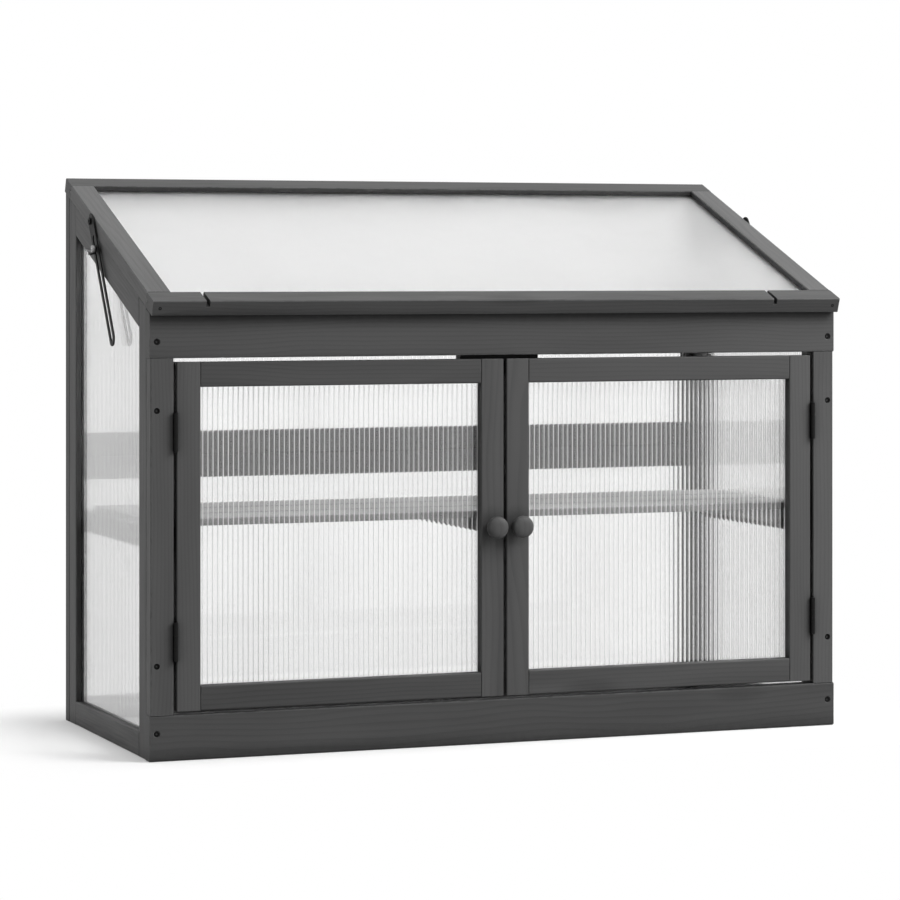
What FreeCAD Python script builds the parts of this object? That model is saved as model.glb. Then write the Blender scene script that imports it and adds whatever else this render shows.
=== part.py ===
import FreeCAD, Part
import os
import re
import Sketcher

# Wooden mini greenhouse, in millimetres.
# A case of grooved timber frames glazed with twin-wall sheet stands on the floor. Two framed doors
# close its front, a slatted shelf lies on cleats half way up, and a sloping framed lid is hinged
# along the top of the back. A slotted stay with a wing nut holds the lid open at each side.
# X runs along the front, Y from front to back, Z up. The origin is on the floor, under the
# middle of the whole object. Places are worked out from the left end of the front planks (X 0)
# and their front face (Y 0), and moved to the origin when a piece is placed.

SIZES = {
    # Timber and glazing
    "timber_thickness": 21.0,
    "arris": 1.2,  # chamfer along the long edges of every board
    "groove_depth": 8.0,
    "sheet_thickness": 4.0,
    "sheet_play": 0.25,  # on each face of a sheet in its groove
    "sheet_end_play": 1.0,  # edge of a sheet to the bottom of its groove
    "tenon_play": 0.2,  # on each face of a stub tenon
    "flute_pitch": 7.0,
    "flute_wall": 0.8,  # ribs between the flutes of a sheet
    "flute_skin": 0.6,  # outer walls of a sheet
    # Case
    "case_width": 1000.0,  # over the ends of the front planks
    "case_depth": 440.0,  # front planks to the back of the rear panels
    "back_panel_height": 376.0,  # each of the two stacked rear panels
    "frame_inset": 1.5,  # posts, sides and back stand in from the ends of the planks
    "bottom_plank_height": 60.0,
    "door_opening_height": 466.5,
    "top_plank_height": 58.5,  # of its front face; its top is planed to the slope
    "post_width": 31.3,
    "side_stile_width": 36.0,
    "side_bottom_rail_width": 33.0,
    "side_top_rail_width": 37.0,
    "back_member_width": 33.0,
    # Lid
    "lid_gap": 1.0,  # square to the slope, between lid and case
    "lid_overhang": 11.0,  # in front of the planks, along the floor
    "lid_rail_width": 34.0,  # front and rear rails
    "lid_side_rail_width": 33.0,
    "drain_width": 5.0,
    "drain_left": 75.0,  # middle of the left drain to the left end of the lid
    "drain_right": 100.0,  # middle of the right drain to the right end of the lid
    # Doors
    "door_thickness": 20.5,
    "door_member_width": 33.0,
    "door_side_gap": 4.0,
    "door_centre_gap": 4.0,
    "door_bottom_gap": 4.0,
    "door_top_gap": 5.0,
    "rebate_depth": 6.0,  # from the back of the door, for its sheet
    "rebate_width": 8.0,
    "knob_height": 234.0,  # above the bottom plank
    "knob_projection": 26.0,
    "knob_radius": 15.0,
    "knob_neck_radius": 8.0,
    "knob_neck_height": 14.0,
    # Door stop
    "stop_width": 114.0,
    "stop_height": 50.0,
    "stop_drop": 30.0,  # below the upper plank
    "stop_thickness": 18.0,
    # Butt hinges
    "hinge_length": 51.0,
    "hinge_leaf_depth": 17.0,
    "hinge_leaf_thickness": 1.5,
    "hinge_barrel_radius": 3.0,
    "hinge_barrel_gap": 0.4,  # barrel to the wood beside it
    "hinge_knuckle_gap": 0.3,  # between neighbouring knuckles
    "hinge_pin_radius": 1.4,  # the pin is fixed in the outer knuckles
    "hinge_pin_play": 0.06,
    "hinge_end_distance": 66.0,  # door's top or bottom edge to the nearer end of a hinge
    "lid_hinge_end_distance": 130.0,  # end of the lid to the nearer end of a hinge
    # Shelf
    "shelf_slat_width": 88.0,
    "shelf_slat_gap": 10.0,
    "shelf_slat_thickness": 10.0,
    "shelf_top_height": 312.0,
    "shelf_end_play": 1.5,
    "shelf_setback": 35.0,  # behind the back of the front planks
    "shelf_batten_width": 20.0,
    "shelf_batten_height": 20.0,
    "cleat_thickness": 21.0,
    "cleat_height": 30.0,
    # Lid stays
    "stay_width": 22.0,
    "stay_thickness": 2.0,
    "stay_length": 194.0,  # pivot to the middle of the lower end
    "stay_slot_start": 29.0,  # pivot to the middle of the slot's upper end
    "stay_slot_width": 9.0,
    "stay_side_gap": 1.0,  # bar to the side of the lid
    "stay_pivot_setback": 153.5,  # pivot to the back of the case, along the floor
    "stay_pivot_rise": 3.0,  # pivot above the middle of the lid's thickness
    "stay_bolt_setback": 181.0,  # bolt to the back of the case, along the floor
    "stay_bolt_rise": 5.5,  # bolt above the middle of the side's top rail
    "stay_play": 0.15,
    "stay_end_gap": 0.3,  # stud to the side frame, at the pivot that is left open
    "bolt_radius": 3.0,
    "bolt_play": 0.06,
    "bolt_head_radius": 7.0,
    "bolt_head_height": 3.0,
    "stud_length": 10.5,
    "pivot_radius": 2.5,
    "pivot_play": 0.06,
    "pivot_head_radius": 5.0,
    "pivot_head_height": 2.5,
    "pivot_bite": 16.0,  # length of the pivot screw in the lid
    "pivot_bore_spare": 2.0,  # its hole beyond its tip
    "nut_radius": 6.5,
    "nut_height": 5.5,
    "nut_wing_span": 24.0,
    "nut_wing_rise": 13.0,
    "nut_wing_thickness": 2.6,
}
KNUCKLES = 3
NUT_REST_TURN = 72  # degrees that the wings of a nut stand turned from upright

# Formulas that several pieces share
FRONT_HEIGHT = "(bottom_plank_height + door_opening_height + top_plank_height)"
RISE = f"(2*back_panel_height - {FRONT_HEIGHT})"
TILT = f"atan({RISE}/case_depth)"
FALL = f"({RISE}/case_depth)"
OPENING_TOP = "(bottom_plank_height + door_opening_height)"
INNER_DEPTH = "(case_depth - 2*timber_thickness)"
FRAME_WIDTH = "(case_width - 2*frame_inset)"
SHEET_BITE = "(groove_depth - sheet_end_play)"
GROOVE_NEAR = "((timber_thickness - sheet_thickness)/2 - sheet_play)"
GROOVE_WIDTH = "(sheet_thickness + 2*sheet_play)"
GROOVE_FAR = f"({GROOVE_NEAR} + {GROOVE_WIDTH})"
TENON_WIDTH = f"({GROOVE_WIDTH} - 2*tenon_play)"
TENON_LENGTH = SHEET_BITE
SIDE_RAIL_RISE = f"(side_top_rail_width/cos({TILT}))"
LID_LENGTH = f"((case_depth + lid_overhang)/cos({TILT}))"
LID_REAR_HEIGHT = f"(2*back_panel_height + lid_gap/cos({TILT}))"
LID_FRONT_HEIGHT = f"({LID_REAR_HEIGHT} - {LID_LENGTH}*sin({TILT}))"
DOOR_HEIGHT = "(door_opening_height - door_bottom_gap - door_top_gap)"
DOOR_LEFT = "(frame_inset + post_width + door_side_gap)"
DOOR_WIDTH = f"(case_width/2 - {DOOR_LEFT} - door_centre_gap/2)"
DOOR_FOOT = "(bottom_plank_height + door_bottom_gap)"
BARREL_OFFSET = "(hinge_barrel_radius + hinge_barrel_gap)"
SHELF_FOOT = "(shelf_top_height - shelf_slat_thickness)"
SHELF_DEPTH = "(3*shelf_slat_width + 2*shelf_slat_gap)"
CLEAR_WIDTH = f"({FRAME_WIDTH} - 2*timber_thickness)"
FRONT_REACH = f"max(knob_projection; lid_overhang + timber_thickness*sin({TILT}))"
PIVOT_UP = "(timber_thickness/2 + stay_pivot_rise)"
PIVOT_ALONG = f"({LID_LENGTH} - (stay_pivot_setback - {PIVOT_UP}*sin({TILT}))/cos({TILT}))"
BOLT_UP = f"({SIDE_RAIL_RISE}/2 + stay_bolt_rise/cos({TILT}))"
REAR_REACH = f"(case_depth + {BARREL_OFFSET} + hinge_barrel_radius)"
MIDDLE_Y = f"(({REAR_REACH} - {FRONT_REACH})/2)"

X_AXIS = FreeCAD.Vector(1, 0, 0)
Y_AXIS = FreeCAD.Vector(0, 1, 0)
Z_AXIS = FreeCAD.Vector(0, 0, 1)

doc = FreeCAD.newDocument("MiniGreenhouse")
sheet = doc.addObject("Spreadsheet::Sheet", "Sizes")
for row, (alias, value) in enumerate(SIZES.items(), start=1):
    sheet.set(f"A{row}", alias)
    sheet.set(f"B{row}", str(value))
    sheet.setAlias(f"B{row}", alias)
doc.recompute()

reader = doc.addObject("App::FeaturePython", "Reader")
reader.addProperty("App::PropertyFloat", "Reading")
subparts = []


def formula(text):
    """Put the sheet's name before every size that the text names."""
    return re.sub(r"[a-z_]+", lambda word: "Sizes." * (word.group() in SIZES) + word.group(), text)


def reading(text):
    """Value of a formula, from the sheet."""
    reader.setExpression("Reading", formula(text))
    reader.recompute()
    return reader.Reading


def new_body(label, is_subpart=True):
    body = doc.addObject("PartDesign::Body", label)
    body.Label = label
    if is_subpart:
        subparts.append(body)
    return body


def place(piece, x, y, z, rotation=FreeCAD.Rotation(), angle=""):
    """Put a piece where the formulas say, seen from the left end and front face of the planks."""
    piece.Placement = FreeCAD.Placement(FreeCAD.Vector(), rotation)
    piece.setExpression("Placement.Base.x", formula(f"{x} - case_width/2"))
    piece.setExpression("Placement.Base.y", formula(f"{y} - {MIDDLE_Y}"))
    piece.setExpression("Placement.Base.z", formula(z))
    if angle:
        piece.setExpression("Placement.Rotation.Angle", formula(angle))


def place_on_lid(piece, x, along, up):
    """Put a piece in the lid's own slope: along it from the front edge, and up from its underside."""
    y = f"(case_depth - ({LID_LENGTH} - ({along}))*cos({TILT}) - ({up})*sin({TILT}))"
    z = f"({LID_FRONT_HEIGHT} + ({along})*sin({TILT}) + ({up})*cos({TILT}))"
    place(piece, x, y, z, FreeCAD.Rotation(X_AXIS, reading(TILT)), TILT)


def new_sketch(body, role, lift="0"):
    """Sketch on one of the body's own planes, lifted off it by a formula."""
    plane = next(item for item in body.Origin.OriginFeatures if item.Role == role)
    sketch = body.newObject("Sketcher::SketchObject", "Sketch")
    sketch.AttachmentSupport = [(plane, "")]
    sketch.MapMode = "FlatFace"
    if lift != "0":
        sketch.setExpression("AttachmentOffset.Base.z", formula(lift))
    return sketch


def hold_point(sketch, item, point, across, up):
    """Hold one point of a sketch at its two formulas."""
    for kind, text, axis in (("DistanceX", across, -2), ("DistanceY", up, -1)):
        if text == "0":
            sketch.addConstraint(Sketcher.Constraint("PointOnObject", item, point, axis))
        else:
            rule = Sketcher.Constraint(kind, -1, 1, item, point, reading(text))
            index = sketch.addConstraint(rule)
            sketch.setExpression(f"Constraints[{index}]", formula(text))


def draw_outline(sketch, corners):
    """Closed run of straight lines, with each corner held at its formulas."""
    spots = [FreeCAD.Vector(reading(across), reading(up), 0) for across, up in corners]
    first = sketch.GeometryCount
    following = [(index + 1) % len(spots) for index in range(len(spots))]
    for index, after in enumerate(following):
        sketch.addGeometry(Part.LineSegment(spots[index], spots[after]), False)
    for index, after in enumerate(following):
        sketch.addConstraint(Sketcher.Constraint("Coincident", first + index, 2, first + after, 1))
    for index, (across, up) in enumerate(corners):
        hold_point(sketch, first + index, 1, across, up)


def draw_circle(sketch, across, up, radius):
    middle = FreeCAD.Vector(reading(across), reading(up), 0)
    item = sketch.addGeometry(Part.Circle(middle, Z_AXIS, reading(radius)), False)
    hold_point(sketch, item, 3, across, up)
    index = sketch.addConstraint(Sketcher.Constraint("Radius", item, reading(radius)))
    sketch.setExpression(f"Constraints[{index}]", formula(radius))


def rectangle(across, up, width, height):
    """Corners of a rectangle, from the formulas of its lower left corner and its size."""
    right = width if across == "0" else f"({across}) + ({width})"
    top = height if up == "0" else f"({up}) + ({height})"
    return [(across, up), (right, up), (right, top), (across, top)]


def pad(body, sketch, length, backwards=False):
    feature = body.newObject("PartDesign::Pad", "Pad")
    feature.Profile = sketch
    feature.setExpression("Length", formula(length))
    feature.Reversed = backwards
    return feature


def pocket(body, sketch, depth="", backwards=False):
    """Cut the sketch to a depth, or right through where none is given."""
    feature = body.newObject("PartDesign::Pocket", "Pocket")
    feature.Profile = sketch
    feature.Reversed = backwards
    if depth:
        feature.setExpression("Length", formula(depth))
    else:
        feature.Type = "ThroughAll"
    return feature


def ease_edges(body, feature, axis):
    """Chamfer the outer edges that run along the axis."""
    doc.recompute()
    box = feature.Shape.BoundBox
    across = [name for name in "XYZ" if name != axis]
    names = []
    for number, edge in enumerate(feature.Shape.Edges, start=1):
        middle = edge.BoundBox
        run = getattr(middle, axis + "Length")
        flat = all(getattr(middle, name + "Length") < 1e-6 for name in across)
        outer = all(
            min(abs(getattr(middle, name + "Min") - getattr(box, name + "Min")),
                abs(getattr(middle, name + "Max") - getattr(box, name + "Max"))) < 1e-6
            for name in across)
        if flat and outer and run > reading("timber_thickness"):
            names.append(f"Edge{number}")
    chamfer = body.newObject("PartDesign::Chamfer", "Arris")
    chamfer.Base = (feature, names)
    chamfer.setExpression("Size", formula("arris"))
    return chamfer


def board(label, width, thickness, length, is_subpart=True):
    """Plain board: length along X, thickness along Y, width up Z."""
    body = new_body(label, is_subpart)
    sketch = new_sketch(body, "YZ_Plane")
    draw_outline(sketch, rectangle("0", "0", thickness, width))
    ease_edges(body, pad(body, sketch, length), "X")
    return body


def upright(label, width, thickness, height):
    """Plain upright: width along X, thickness along Y, height up Z."""
    body = new_body(label)
    sketch = new_sketch(body, "XY_Plane")
    draw_outline(sketch, rectangle("0", "0", width, thickness))
    ease_edges(body, pad(body, sketch, height), "Z")
    return body


def grooved_section(width):
    """Section of a frame member with the sheet's groove in its far edge."""
    return [
        ("0", "0"),
        (width, "0"),
        (width, GROOVE_NEAR),
        (f"{width} - groove_depth", GROOVE_NEAR),
        (f"{width} - groove_depth", GROOVE_FAR),
        (width, GROOVE_FAR),
        (width, "timber_thickness"),
        ("0", "timber_thickness"),
    ]


def turned(corners):
    """The same section with its two directions exchanged."""
    return [(up, across) for across, up in corners]


def grooved_stile(label, width, height, is_subpart=True):
    """Frame upright, grooved on its +X edge."""
    body = new_body(label, is_subpart)
    sketch = new_sketch(body, "XY_Plane")
    draw_outline(sketch, grooved_section(width))
    ease_edges(body, pad(body, sketch, height), "Z")
    return body


def grooved_rail(label, width, length, is_subpart=True):
    """Frame rail along X, grooved on its upper edge, with a stub tenon at each end.

    The length is measured between the shoulders, and X 0 is the end of a tenon."""
    body = new_body(label, is_subpart)
    sketch = new_sketch(body, "YZ_Plane", TENON_LENGTH)
    draw_outline(sketch, turned(grooved_section(width)))
    ease_edges(body, pad(body, sketch, length), "X")
    tenon = new_sketch(body, "YZ_Plane")
    near = f"{GROOVE_NEAR} + tenon_play"
    draw_outline(tenon, rectangle(near, "0", TENON_WIDTH, f"{width} - groove_depth"))
    pad(body, tenon, f"{length} + 2*{TENON_LENGTH}")
    return body


def flutes(body, sheet_width):
    """Cut the upright flutes of a twin-wall sheet, side by side along X."""
    cell = new_sketch(body, "XY_Plane")
    draw_outline(cell, rectangle(
        "flute_wall", "flute_skin", "flute_pitch - flute_wall", "sheet_thickness - 2*flute_skin"))
    first = pocket(body, cell, backwards=True)
    row = body.newObject("PartDesign::LinearPattern", "Flutes")
    row.Originals = [first]
    row.Direction = (cell, ["H_Axis"])
    count = f"floor(({sheet_width} - flute_wall)/flute_pitch)"
    row.setExpression("Length", formula(f"({count} - 1)*flute_pitch"))
    row.setExpression("Occurrences", formula(count))
    body.Tip = row


def upright_sheet(label, width, height, fluted=False):
    """Sheet that stands in the XZ plane, with its flutes running up where they show."""
    body = new_body(label)
    outline = new_sketch(body, "XZ_Plane")
    draw_outline(outline, rectangle("0", "0", width, height))
    pad(body, outline, "sheet_thickness", backwards=True)
    if fluted:
        flutes(body, width)
    return body


def turned_piece(label, steps, is_subpart=True):
    """Stack of discs along Z, each given by where it starts, its height and its radius."""
    body = new_body(label, is_subpart)
    for start, height, radius in steps:
        disc = new_sketch(body, "XY_Plane", start)
        draw_circle(disc, "0", "0", radius)
        pad(body, disc, height)
    return body


def headed_rod(label, start, length, radius, head):
    """Rod along Z with a six-sided head, given by where it starts, its height and its radius."""
    body = turned_piece(label, [(start, length, radius)], is_subpart=False)
    foot, height, reach = head
    hexagon = new_sketch(body, "XY_Plane", foot)
    half = f"{reach}*sin(60 deg)"
    draw_outline(hexagon, [
        (reach, "0"),
        (f"{reach}/2", half),
        (f"-{reach}/2", half),
        (f"-{reach}", "0"),
        (f"-{reach}/2", f"-{half}"),
        (f"{reach}/2", f"-{half}"),
    ])
    pad(body, hexagon, height)
    return body


def gather(label, sources, placements, mirrored=False):
    """One node of several small or stacked pieces: copies of the sources' shapes at the placements."""
    doc.recompute()
    if not isinstance(sources, tuple):
        sources = (sources,)*len(placements)
    copies = []
    for source, placement in zip(sources, placements):
        copy = source.Shape.copy()
        copy.Placement = FreeCAD.Placement()
        if mirrored:
            copy = copy.mirror(FreeCAD.Vector(), X_AXIS)
        copy.Placement = placement
        copies.append(copy)
    node = doc.addObject("Part::Feature", label)
    node.Label = label
    node.Shape = Part.makeCompound(copies)
    node.Placement = FreeCAD.Placement(
        FreeCAD.Vector(-reading("case_width/2"), -reading(MIDDLE_Y), 0), FreeCAD.Rotation())
    subparts.append(node)
    return node


def spot(x, y, z, rotation=FreeCAD.Rotation()):
    """Placement at three formulas."""
    return FreeCAD.Placement(FreeCAD.Vector(reading(x), reading(y), reading(z)), rotation)


HALF_TURN_X = FreeCAD.Rotation(X_AXIS, 180)
HALF_TURN_Y = FreeCAD.Rotation(Y_AXIS, 180)
HALF_TURN_Z = FreeCAD.Rotation(Z_AXIS, 180)
QUARTER_TURN_Z = FreeCAD.Rotation(Z_AXIS, 90)
OUT_FRONT = FreeCAD.Rotation(X_AXIS, 90)
OUT_LEFT = FreeCAD.Rotation(Y_AXIS, -90)
OUT_RIGHT = FreeCAD.Rotation(Y_AXIS, 90)


# Front: two planks with a post between them at each end
def front_planks():
    top = new_body("front_top_plank")
    section = new_sketch(top, "YZ_Plane")
    draw_outline(section, [
        ("0", "0"),
        ("timber_thickness", "0"),
        ("timber_thickness", f"top_plank_height + timber_thickness*{FALL}"),
        ("0", "top_plank_height"),
    ])
    ease_edges(top, pad(top, section, "case_width"), "X")
    place(top, "0", "0", OPENING_TOP)
    bottom = board("front_bottom_plank", "bottom_plank_height", "timber_thickness", "case_width")
    place(bottom, "0", "0", "0")


def posts():
    for label, left in (
            ("left_post", "frame_inset"), ("right_post", "(case_width - frame_inset - post_width)")):
        post = upright(label, "post_width", "timber_thickness", "door_opening_height")
        place(post, left, "0", "bottom_plank_height")


# Sides: a stile at the front and the back, a level bottom rail and a sloping top rail
def slope_height(depth):
    """Height of the case's sloping top, at a depth behind the front face."""
    return f"({FRONT_HEIGHT} + ({depth})*{FALL})"


SIDE_CLEAR = f"({INNER_DEPTH} - 2*side_stile_width)"
SIDE_GROOVE_RISE = f"(groove_depth/cos({TILT}))"
SIDE_BITE_RISE = f"({SHEET_BITE}/cos({TILT}))"
SIDE_BACK_START = "(timber_thickness + side_stile_width)"


def side_stile(label, x, y, groove_left):
    """Upright with a sloping top, drawn from the side: local X runs towards the back."""
    body = new_body(label)
    outline = new_sketch(body, "XZ_Plane")
    draw_outline(outline, [
        ("0", "0"),
        ("side_stile_width", "0"),
        ("side_stile_width", slope_height(f"{y} + side_stile_width")),
        ("0", slope_height(y)),
    ])
    ease_edges(body, pad(body, outline, "timber_thickness", backwards=True), "Z")
    groove = new_sketch(body, "XY_Plane")
    draw_outline(groove, rectangle(groove_left, GROOVE_NEAR, "groove_depth", GROOVE_WIDTH))
    pocket(body, groove, backwards=True)
    place(body, x, y, "0", QUARTER_TURN_Z)


def side_top_rail(label, x):
    """Sloping rail between the stiles, with stub tenons and the bore of the stay's bolt."""
    body = new_body(label)
    start = TENON_LENGTH
    end = f"({TENON_LENGTH} + {SIDE_CLEAR})"
    stop = f"({end} + {TENON_LENGTH})"
    outline = new_sketch(body, "XZ_Plane")
    draw_outline(outline, [
        (start, f"{start}*{FALL}"),
        (end, f"{end}*{FALL}"),
        (end, f"{end}*{FALL} + {SIDE_RAIL_RISE}"),
        (start, f"{start}*{FALL} + {SIDE_RAIL_RISE}"),
    ])
    pad(body, outline, "timber_thickness", backwards=True)
    tenon = new_sketch(body, "XZ_Plane", f"-({GROOVE_NEAR} + tenon_play)")
    draw_outline(tenon, [
        ("0", SIDE_GROOVE_RISE),
        (stop, f"{stop}*{FALL} + {SIDE_GROOVE_RISE}"),
        (stop, f"{stop}*{FALL} + {SIDE_RAIL_RISE}"),
        ("0", SIDE_RAIL_RISE),
    ])
    pad(body, tenon, TENON_WIDTH, backwards=True)
    groove = new_sketch(body, "XZ_Plane", f"-{GROOVE_NEAR}")
    draw_outline(groove, [
        (start, f"{start}*{FALL}"),
        (end, f"{end}*{FALL}"),
        (end, f"{end}*{FALL} + {SIDE_GROOVE_RISE}"),
        (start, f"{start}*{FALL} + {SIDE_GROOVE_RISE}"),
    ])
    pocket(body, groove, GROOVE_WIDTH)
    bolt_x = f"(case_depth - stay_bolt_setback - {SIDE_BACK_START} + {TENON_LENGTH})"
    bore = new_sketch(body, "XZ_Plane")
    draw_circle(bore, bolt_x, f"{bolt_x}*{FALL} + {BOLT_UP}", "bolt_radius + bolt_play")
    pocket(body, bore)
    foot = f"({slope_height(f'{SIDE_BACK_START} - {TENON_LENGTH}')} - {SIDE_RAIL_RISE})"
    place(body, x, f"({SIDE_BACK_START} - {TENON_LENGTH})", foot, QUARTER_TURN_Z)


def side_sheet(label, x):
    """Sheet with a sloping top, set in the grooves of all four members."""
    body = new_body(label)
    width = f"({SIDE_CLEAR} + 2*{SHEET_BITE})"
    foot = f"(side_bottom_rail_width - {SHEET_BITE})"
    front = f"({SIDE_BACK_START} - {SHEET_BITE})"
    outline = new_sketch(body, "XZ_Plane")
    draw_outline(outline, [
        ("0", "0"),
        (width, "0"),
        (width, f"{slope_height(f'{front} + {width}')} - {SIDE_RAIL_RISE} + {SIDE_BITE_RISE} - {foot}"),
        ("0", f"{slope_height(front)} - {SIDE_RAIL_RISE} + {SIDE_BITE_RISE} - {foot}"),
    ])
    pad(body, outline, "sheet_thickness", backwards=True)
    inward = "(timber_thickness - sheet_thickness)/2"
    place(body, f"({x} - {inward})", front, foot, QUARTER_TURN_Z)


def sides():
    rear = f"({SIDE_BACK_START} + {SIDE_CLEAR})"
    for name, x in (
            ("left", "(frame_inset + timber_thickness)"), ("right", "(case_width - frame_inset)")):
        side_stile(f"{name}_side_front_stile", x, "timber_thickness",
                   "side_stile_width - groove_depth")
        side_stile(f"{name}_side_rear_stile", x, rear, "0")
        rail = grooved_rail(f"{name}_side_bottom_rail", "side_bottom_rail_width", SIDE_CLEAR)
        place(rail, x, f"({SIDE_BACK_START} - {TENON_LENGTH})", "0", QUARTER_TURN_Z)
        side_top_rail(f"{name}_side_top_rail", x)
        side_sheet(f"{name}_side_sheet", x)


# Back: two framed panels, one on the other
BACK_CLEAR = f"({FRAME_WIDTH} - 2*back_member_width)"
BACK_FRONT = "(case_depth - timber_thickness)"


def bevelled_top_rail():
    """Top rail of the upper panel, planed to the slope of the lid, with its groove below."""
    body = new_body("back_upper_top_rail")
    section = new_sketch(body, "YZ_Plane", TENON_LENGTH)
    draw_outline(section, [
        ("0", "0"),
        (GROOVE_NEAR, "0"),
        (GROOVE_NEAR, "groove_depth"),
        (GROOVE_FAR, "groove_depth"),
        (GROOVE_FAR, "0"),
        ("timber_thickness", "0"),
        ("timber_thickness", "back_member_width"),
        ("0", f"back_member_width - timber_thickness*{FALL}"),
    ])
    pad(body, section, BACK_CLEAR)
    tenon = new_sketch(body, "YZ_Plane")
    near = f"{GROOVE_NEAR} + tenon_play"
    room = f"back_member_width - groove_depth - timber_thickness*{FALL}"
    draw_outline(tenon, rectangle(near, "groove_depth", TENON_WIDTH, room))
    pad(body, tenon, f"{BACK_CLEAR} + 2*{TENON_LENGTH}")
    place(body, f"(frame_inset + back_member_width - {TENON_LENGTH})", BACK_FRONT,
          "(2*back_panel_height - back_member_width)")


def bevelled_stile():
    """Stile of the upper panel, with its top planed to the slope."""
    body = grooved_stile("back_upper_stile_shape", "back_member_width", "back_panel_height", False)
    waste = new_sketch(body, "YZ_Plane")
    draw_outline(waste, [
        ("0", f"back_panel_height - timber_thickness*{FALL}"),
        ("timber_thickness", "back_panel_height"),
        ("0", "back_panel_height"),
    ])
    pocket(body, waste, backwards=True)
    return body


def back():
    lower = grooved_stile("back_lower_stile_shape", "back_member_width", "back_panel_height", False)
    upper = bevelled_stile()
    for name, x, mirrored in (
            ("left", "frame_inset", False), ("right", "case_width - frame_inset", True)):
        gather(f"back_{name}_stiles", (lower, upper), [
            spot(x, BACK_FRONT, "0"), spot(x, BACK_FRONT, "back_panel_height")], mirrored)
    start = f"(frame_inset + back_member_width - {TENON_LENGTH})"
    for label, y, z, turn in (
            ("back_lower_bottom_rail", BACK_FRONT, "0", FreeCAD.Rotation()),
            ("back_lower_top_rail", "case_depth", "back_panel_height", HALF_TURN_X),
            ("back_upper_bottom_rail", BACK_FRONT, "back_panel_height", FreeCAD.Rotation())):
        rail = grooved_rail(label, "back_member_width", BACK_CLEAR)
        place(rail, start, y, z, turn)
    bevelled_top_rail()
    width = f"({BACK_CLEAR} + 2*{SHEET_BITE})"
    height = f"(back_panel_height - 2*back_member_width + 2*{SHEET_BITE})"
    for level, foot in (("lower", "0"), ("upper", "back_panel_height")):
        glazing = upright_sheet(f"back_{level}_sheet", width, height)
        place(glazing, f"(frame_inset + back_member_width - {SHEET_BITE})",
              f"({BACK_FRONT} + (timber_thickness - sheet_thickness)/2)",
              f"({foot} + back_member_width - {SHEET_BITE})")


# Lid: front and rear rails over the full width, side rails tenoned between them
LID_SIDE_LENGTH = f"({LID_LENGTH} - 2*lid_rail_width)"


def lid_end_rail(label, groove_at_back):
    body = new_body(label)
    section = new_sketch(body, "YZ_Plane")
    corners = grooved_section("lid_rail_width")
    if not groove_at_back:
        corners = [
            ("0", "0"),
            ("lid_rail_width", "0"),
            ("lid_rail_width", "timber_thickness"),
            ("0", "timber_thickness"),
            ("0", GROOVE_FAR),
            ("groove_depth", GROOVE_FAR),
            ("groove_depth", GROOVE_NEAR),
            ("0", GROOVE_NEAR),
        ]
    draw_outline(section, corners)
    ease_edges(body, pad(body, section, "case_width"), "X")
    return body


def lid_side_rail(label, groove_near):
    """Side rail along the slope, with the groove on its inner edge and stub tenons."""
    body = new_body(label)
    outer_is_left = groove_near != "0"
    start = f"-{TENON_LENGTH}"
    section = new_sketch(body, "XZ_Plane", start)
    draw_outline(section, rectangle("0", "0", "lid_side_rail_width", "timber_thickness"))
    ease_edges(body, pad(body, section, LID_SIDE_LENGTH, backwards=True), "Y")
    groove = new_sketch(body, "XZ_Plane")
    draw_outline(groove, rectangle(groove_near, GROOVE_NEAR, "groove_depth", GROOVE_WIDTH))
    pocket(body, groove)
    tenon = new_sketch(body, "XZ_Plane")
    side = "0" if outer_is_left else "groove_depth"
    draw_outline(tenon, rectangle(
        side, f"{GROOVE_NEAR} + tenon_play", "lid_side_rail_width - groove_depth", TENON_WIDTH))
    pad(body, tenon, f"{LID_SIDE_LENGTH} + 2*{TENON_LENGTH}", backwards=True)
    pivot = new_sketch(body, "YZ_Plane", "0" if outer_is_left else "lid_side_rail_width")
    along = f"({PIVOT_ALONG} - lid_rail_width + {TENON_LENGTH})"
    draw_circle(pivot, along, PIVOT_UP, "pivot_radius + pivot_play")
    pocket(body, pivot, "pivot_bite + pivot_bore_spare", backwards=outer_is_left)
    return body


def lid():
    front = lid_end_rail("lid_front_rail", True)
    depth = "(timber_thickness - sheet_thickness)/2"
    for middle in ("drain_left", "case_width - drain_right"):
        drain = new_sketch(front, "XZ_Plane")
        draw_outline(drain, rectangle(
            f"{middle} - drain_width/2", f"timber_thickness - {depth}", "drain_width", depth))
        pocket(front, drain)
    place_on_lid(front, "0", "0", "0")
    rear = lid_end_rail("lid_rear_rail", False)
    place_on_lid(rear, "0", f"{LID_LENGTH} - lid_rail_width", "0")
    inner = f"(lid_rail_width - {TENON_LENGTH})"
    left = lid_side_rail("lid_left_rail", "lid_side_rail_width - groove_depth")
    place_on_lid(left, "0", inner, "0")
    right = lid_side_rail("lid_right_rail", "0")
    place_on_lid(right, "(case_width - lid_side_rail_width)", inner, "0")
    width = f"(case_width - 2*lid_side_rail_width + 2*{SHEET_BITE})"
    length = f"({LID_SIDE_LENGTH} + 2*{SHEET_BITE})"
    glazing = new_body("lid_sheet")
    outline = new_sketch(glazing, "XY_Plane")
    draw_outline(outline, rectangle("0", "0", width, length))
    pad(glazing, outline, "sheet_thickness")
    place_on_lid(glazing, f"(lid_side_rail_width - {SHEET_BITE})", f"lid_rail_width - {SHEET_BITE}",
                 "(timber_thickness - sheet_thickness)/2")


# Doors: stiles over the full height, rails between them, the sheet in a rebate at the back
def rebated_section():
    return [
        ("0", "0"),
        ("door_member_width", "0"),
        ("door_member_width", "door_thickness - rebate_depth"),
        ("door_member_width - rebate_width", "door_thickness - rebate_depth"),
        ("door_member_width - rebate_width", "door_thickness"),
        ("0", "door_thickness"),
    ]


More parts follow.
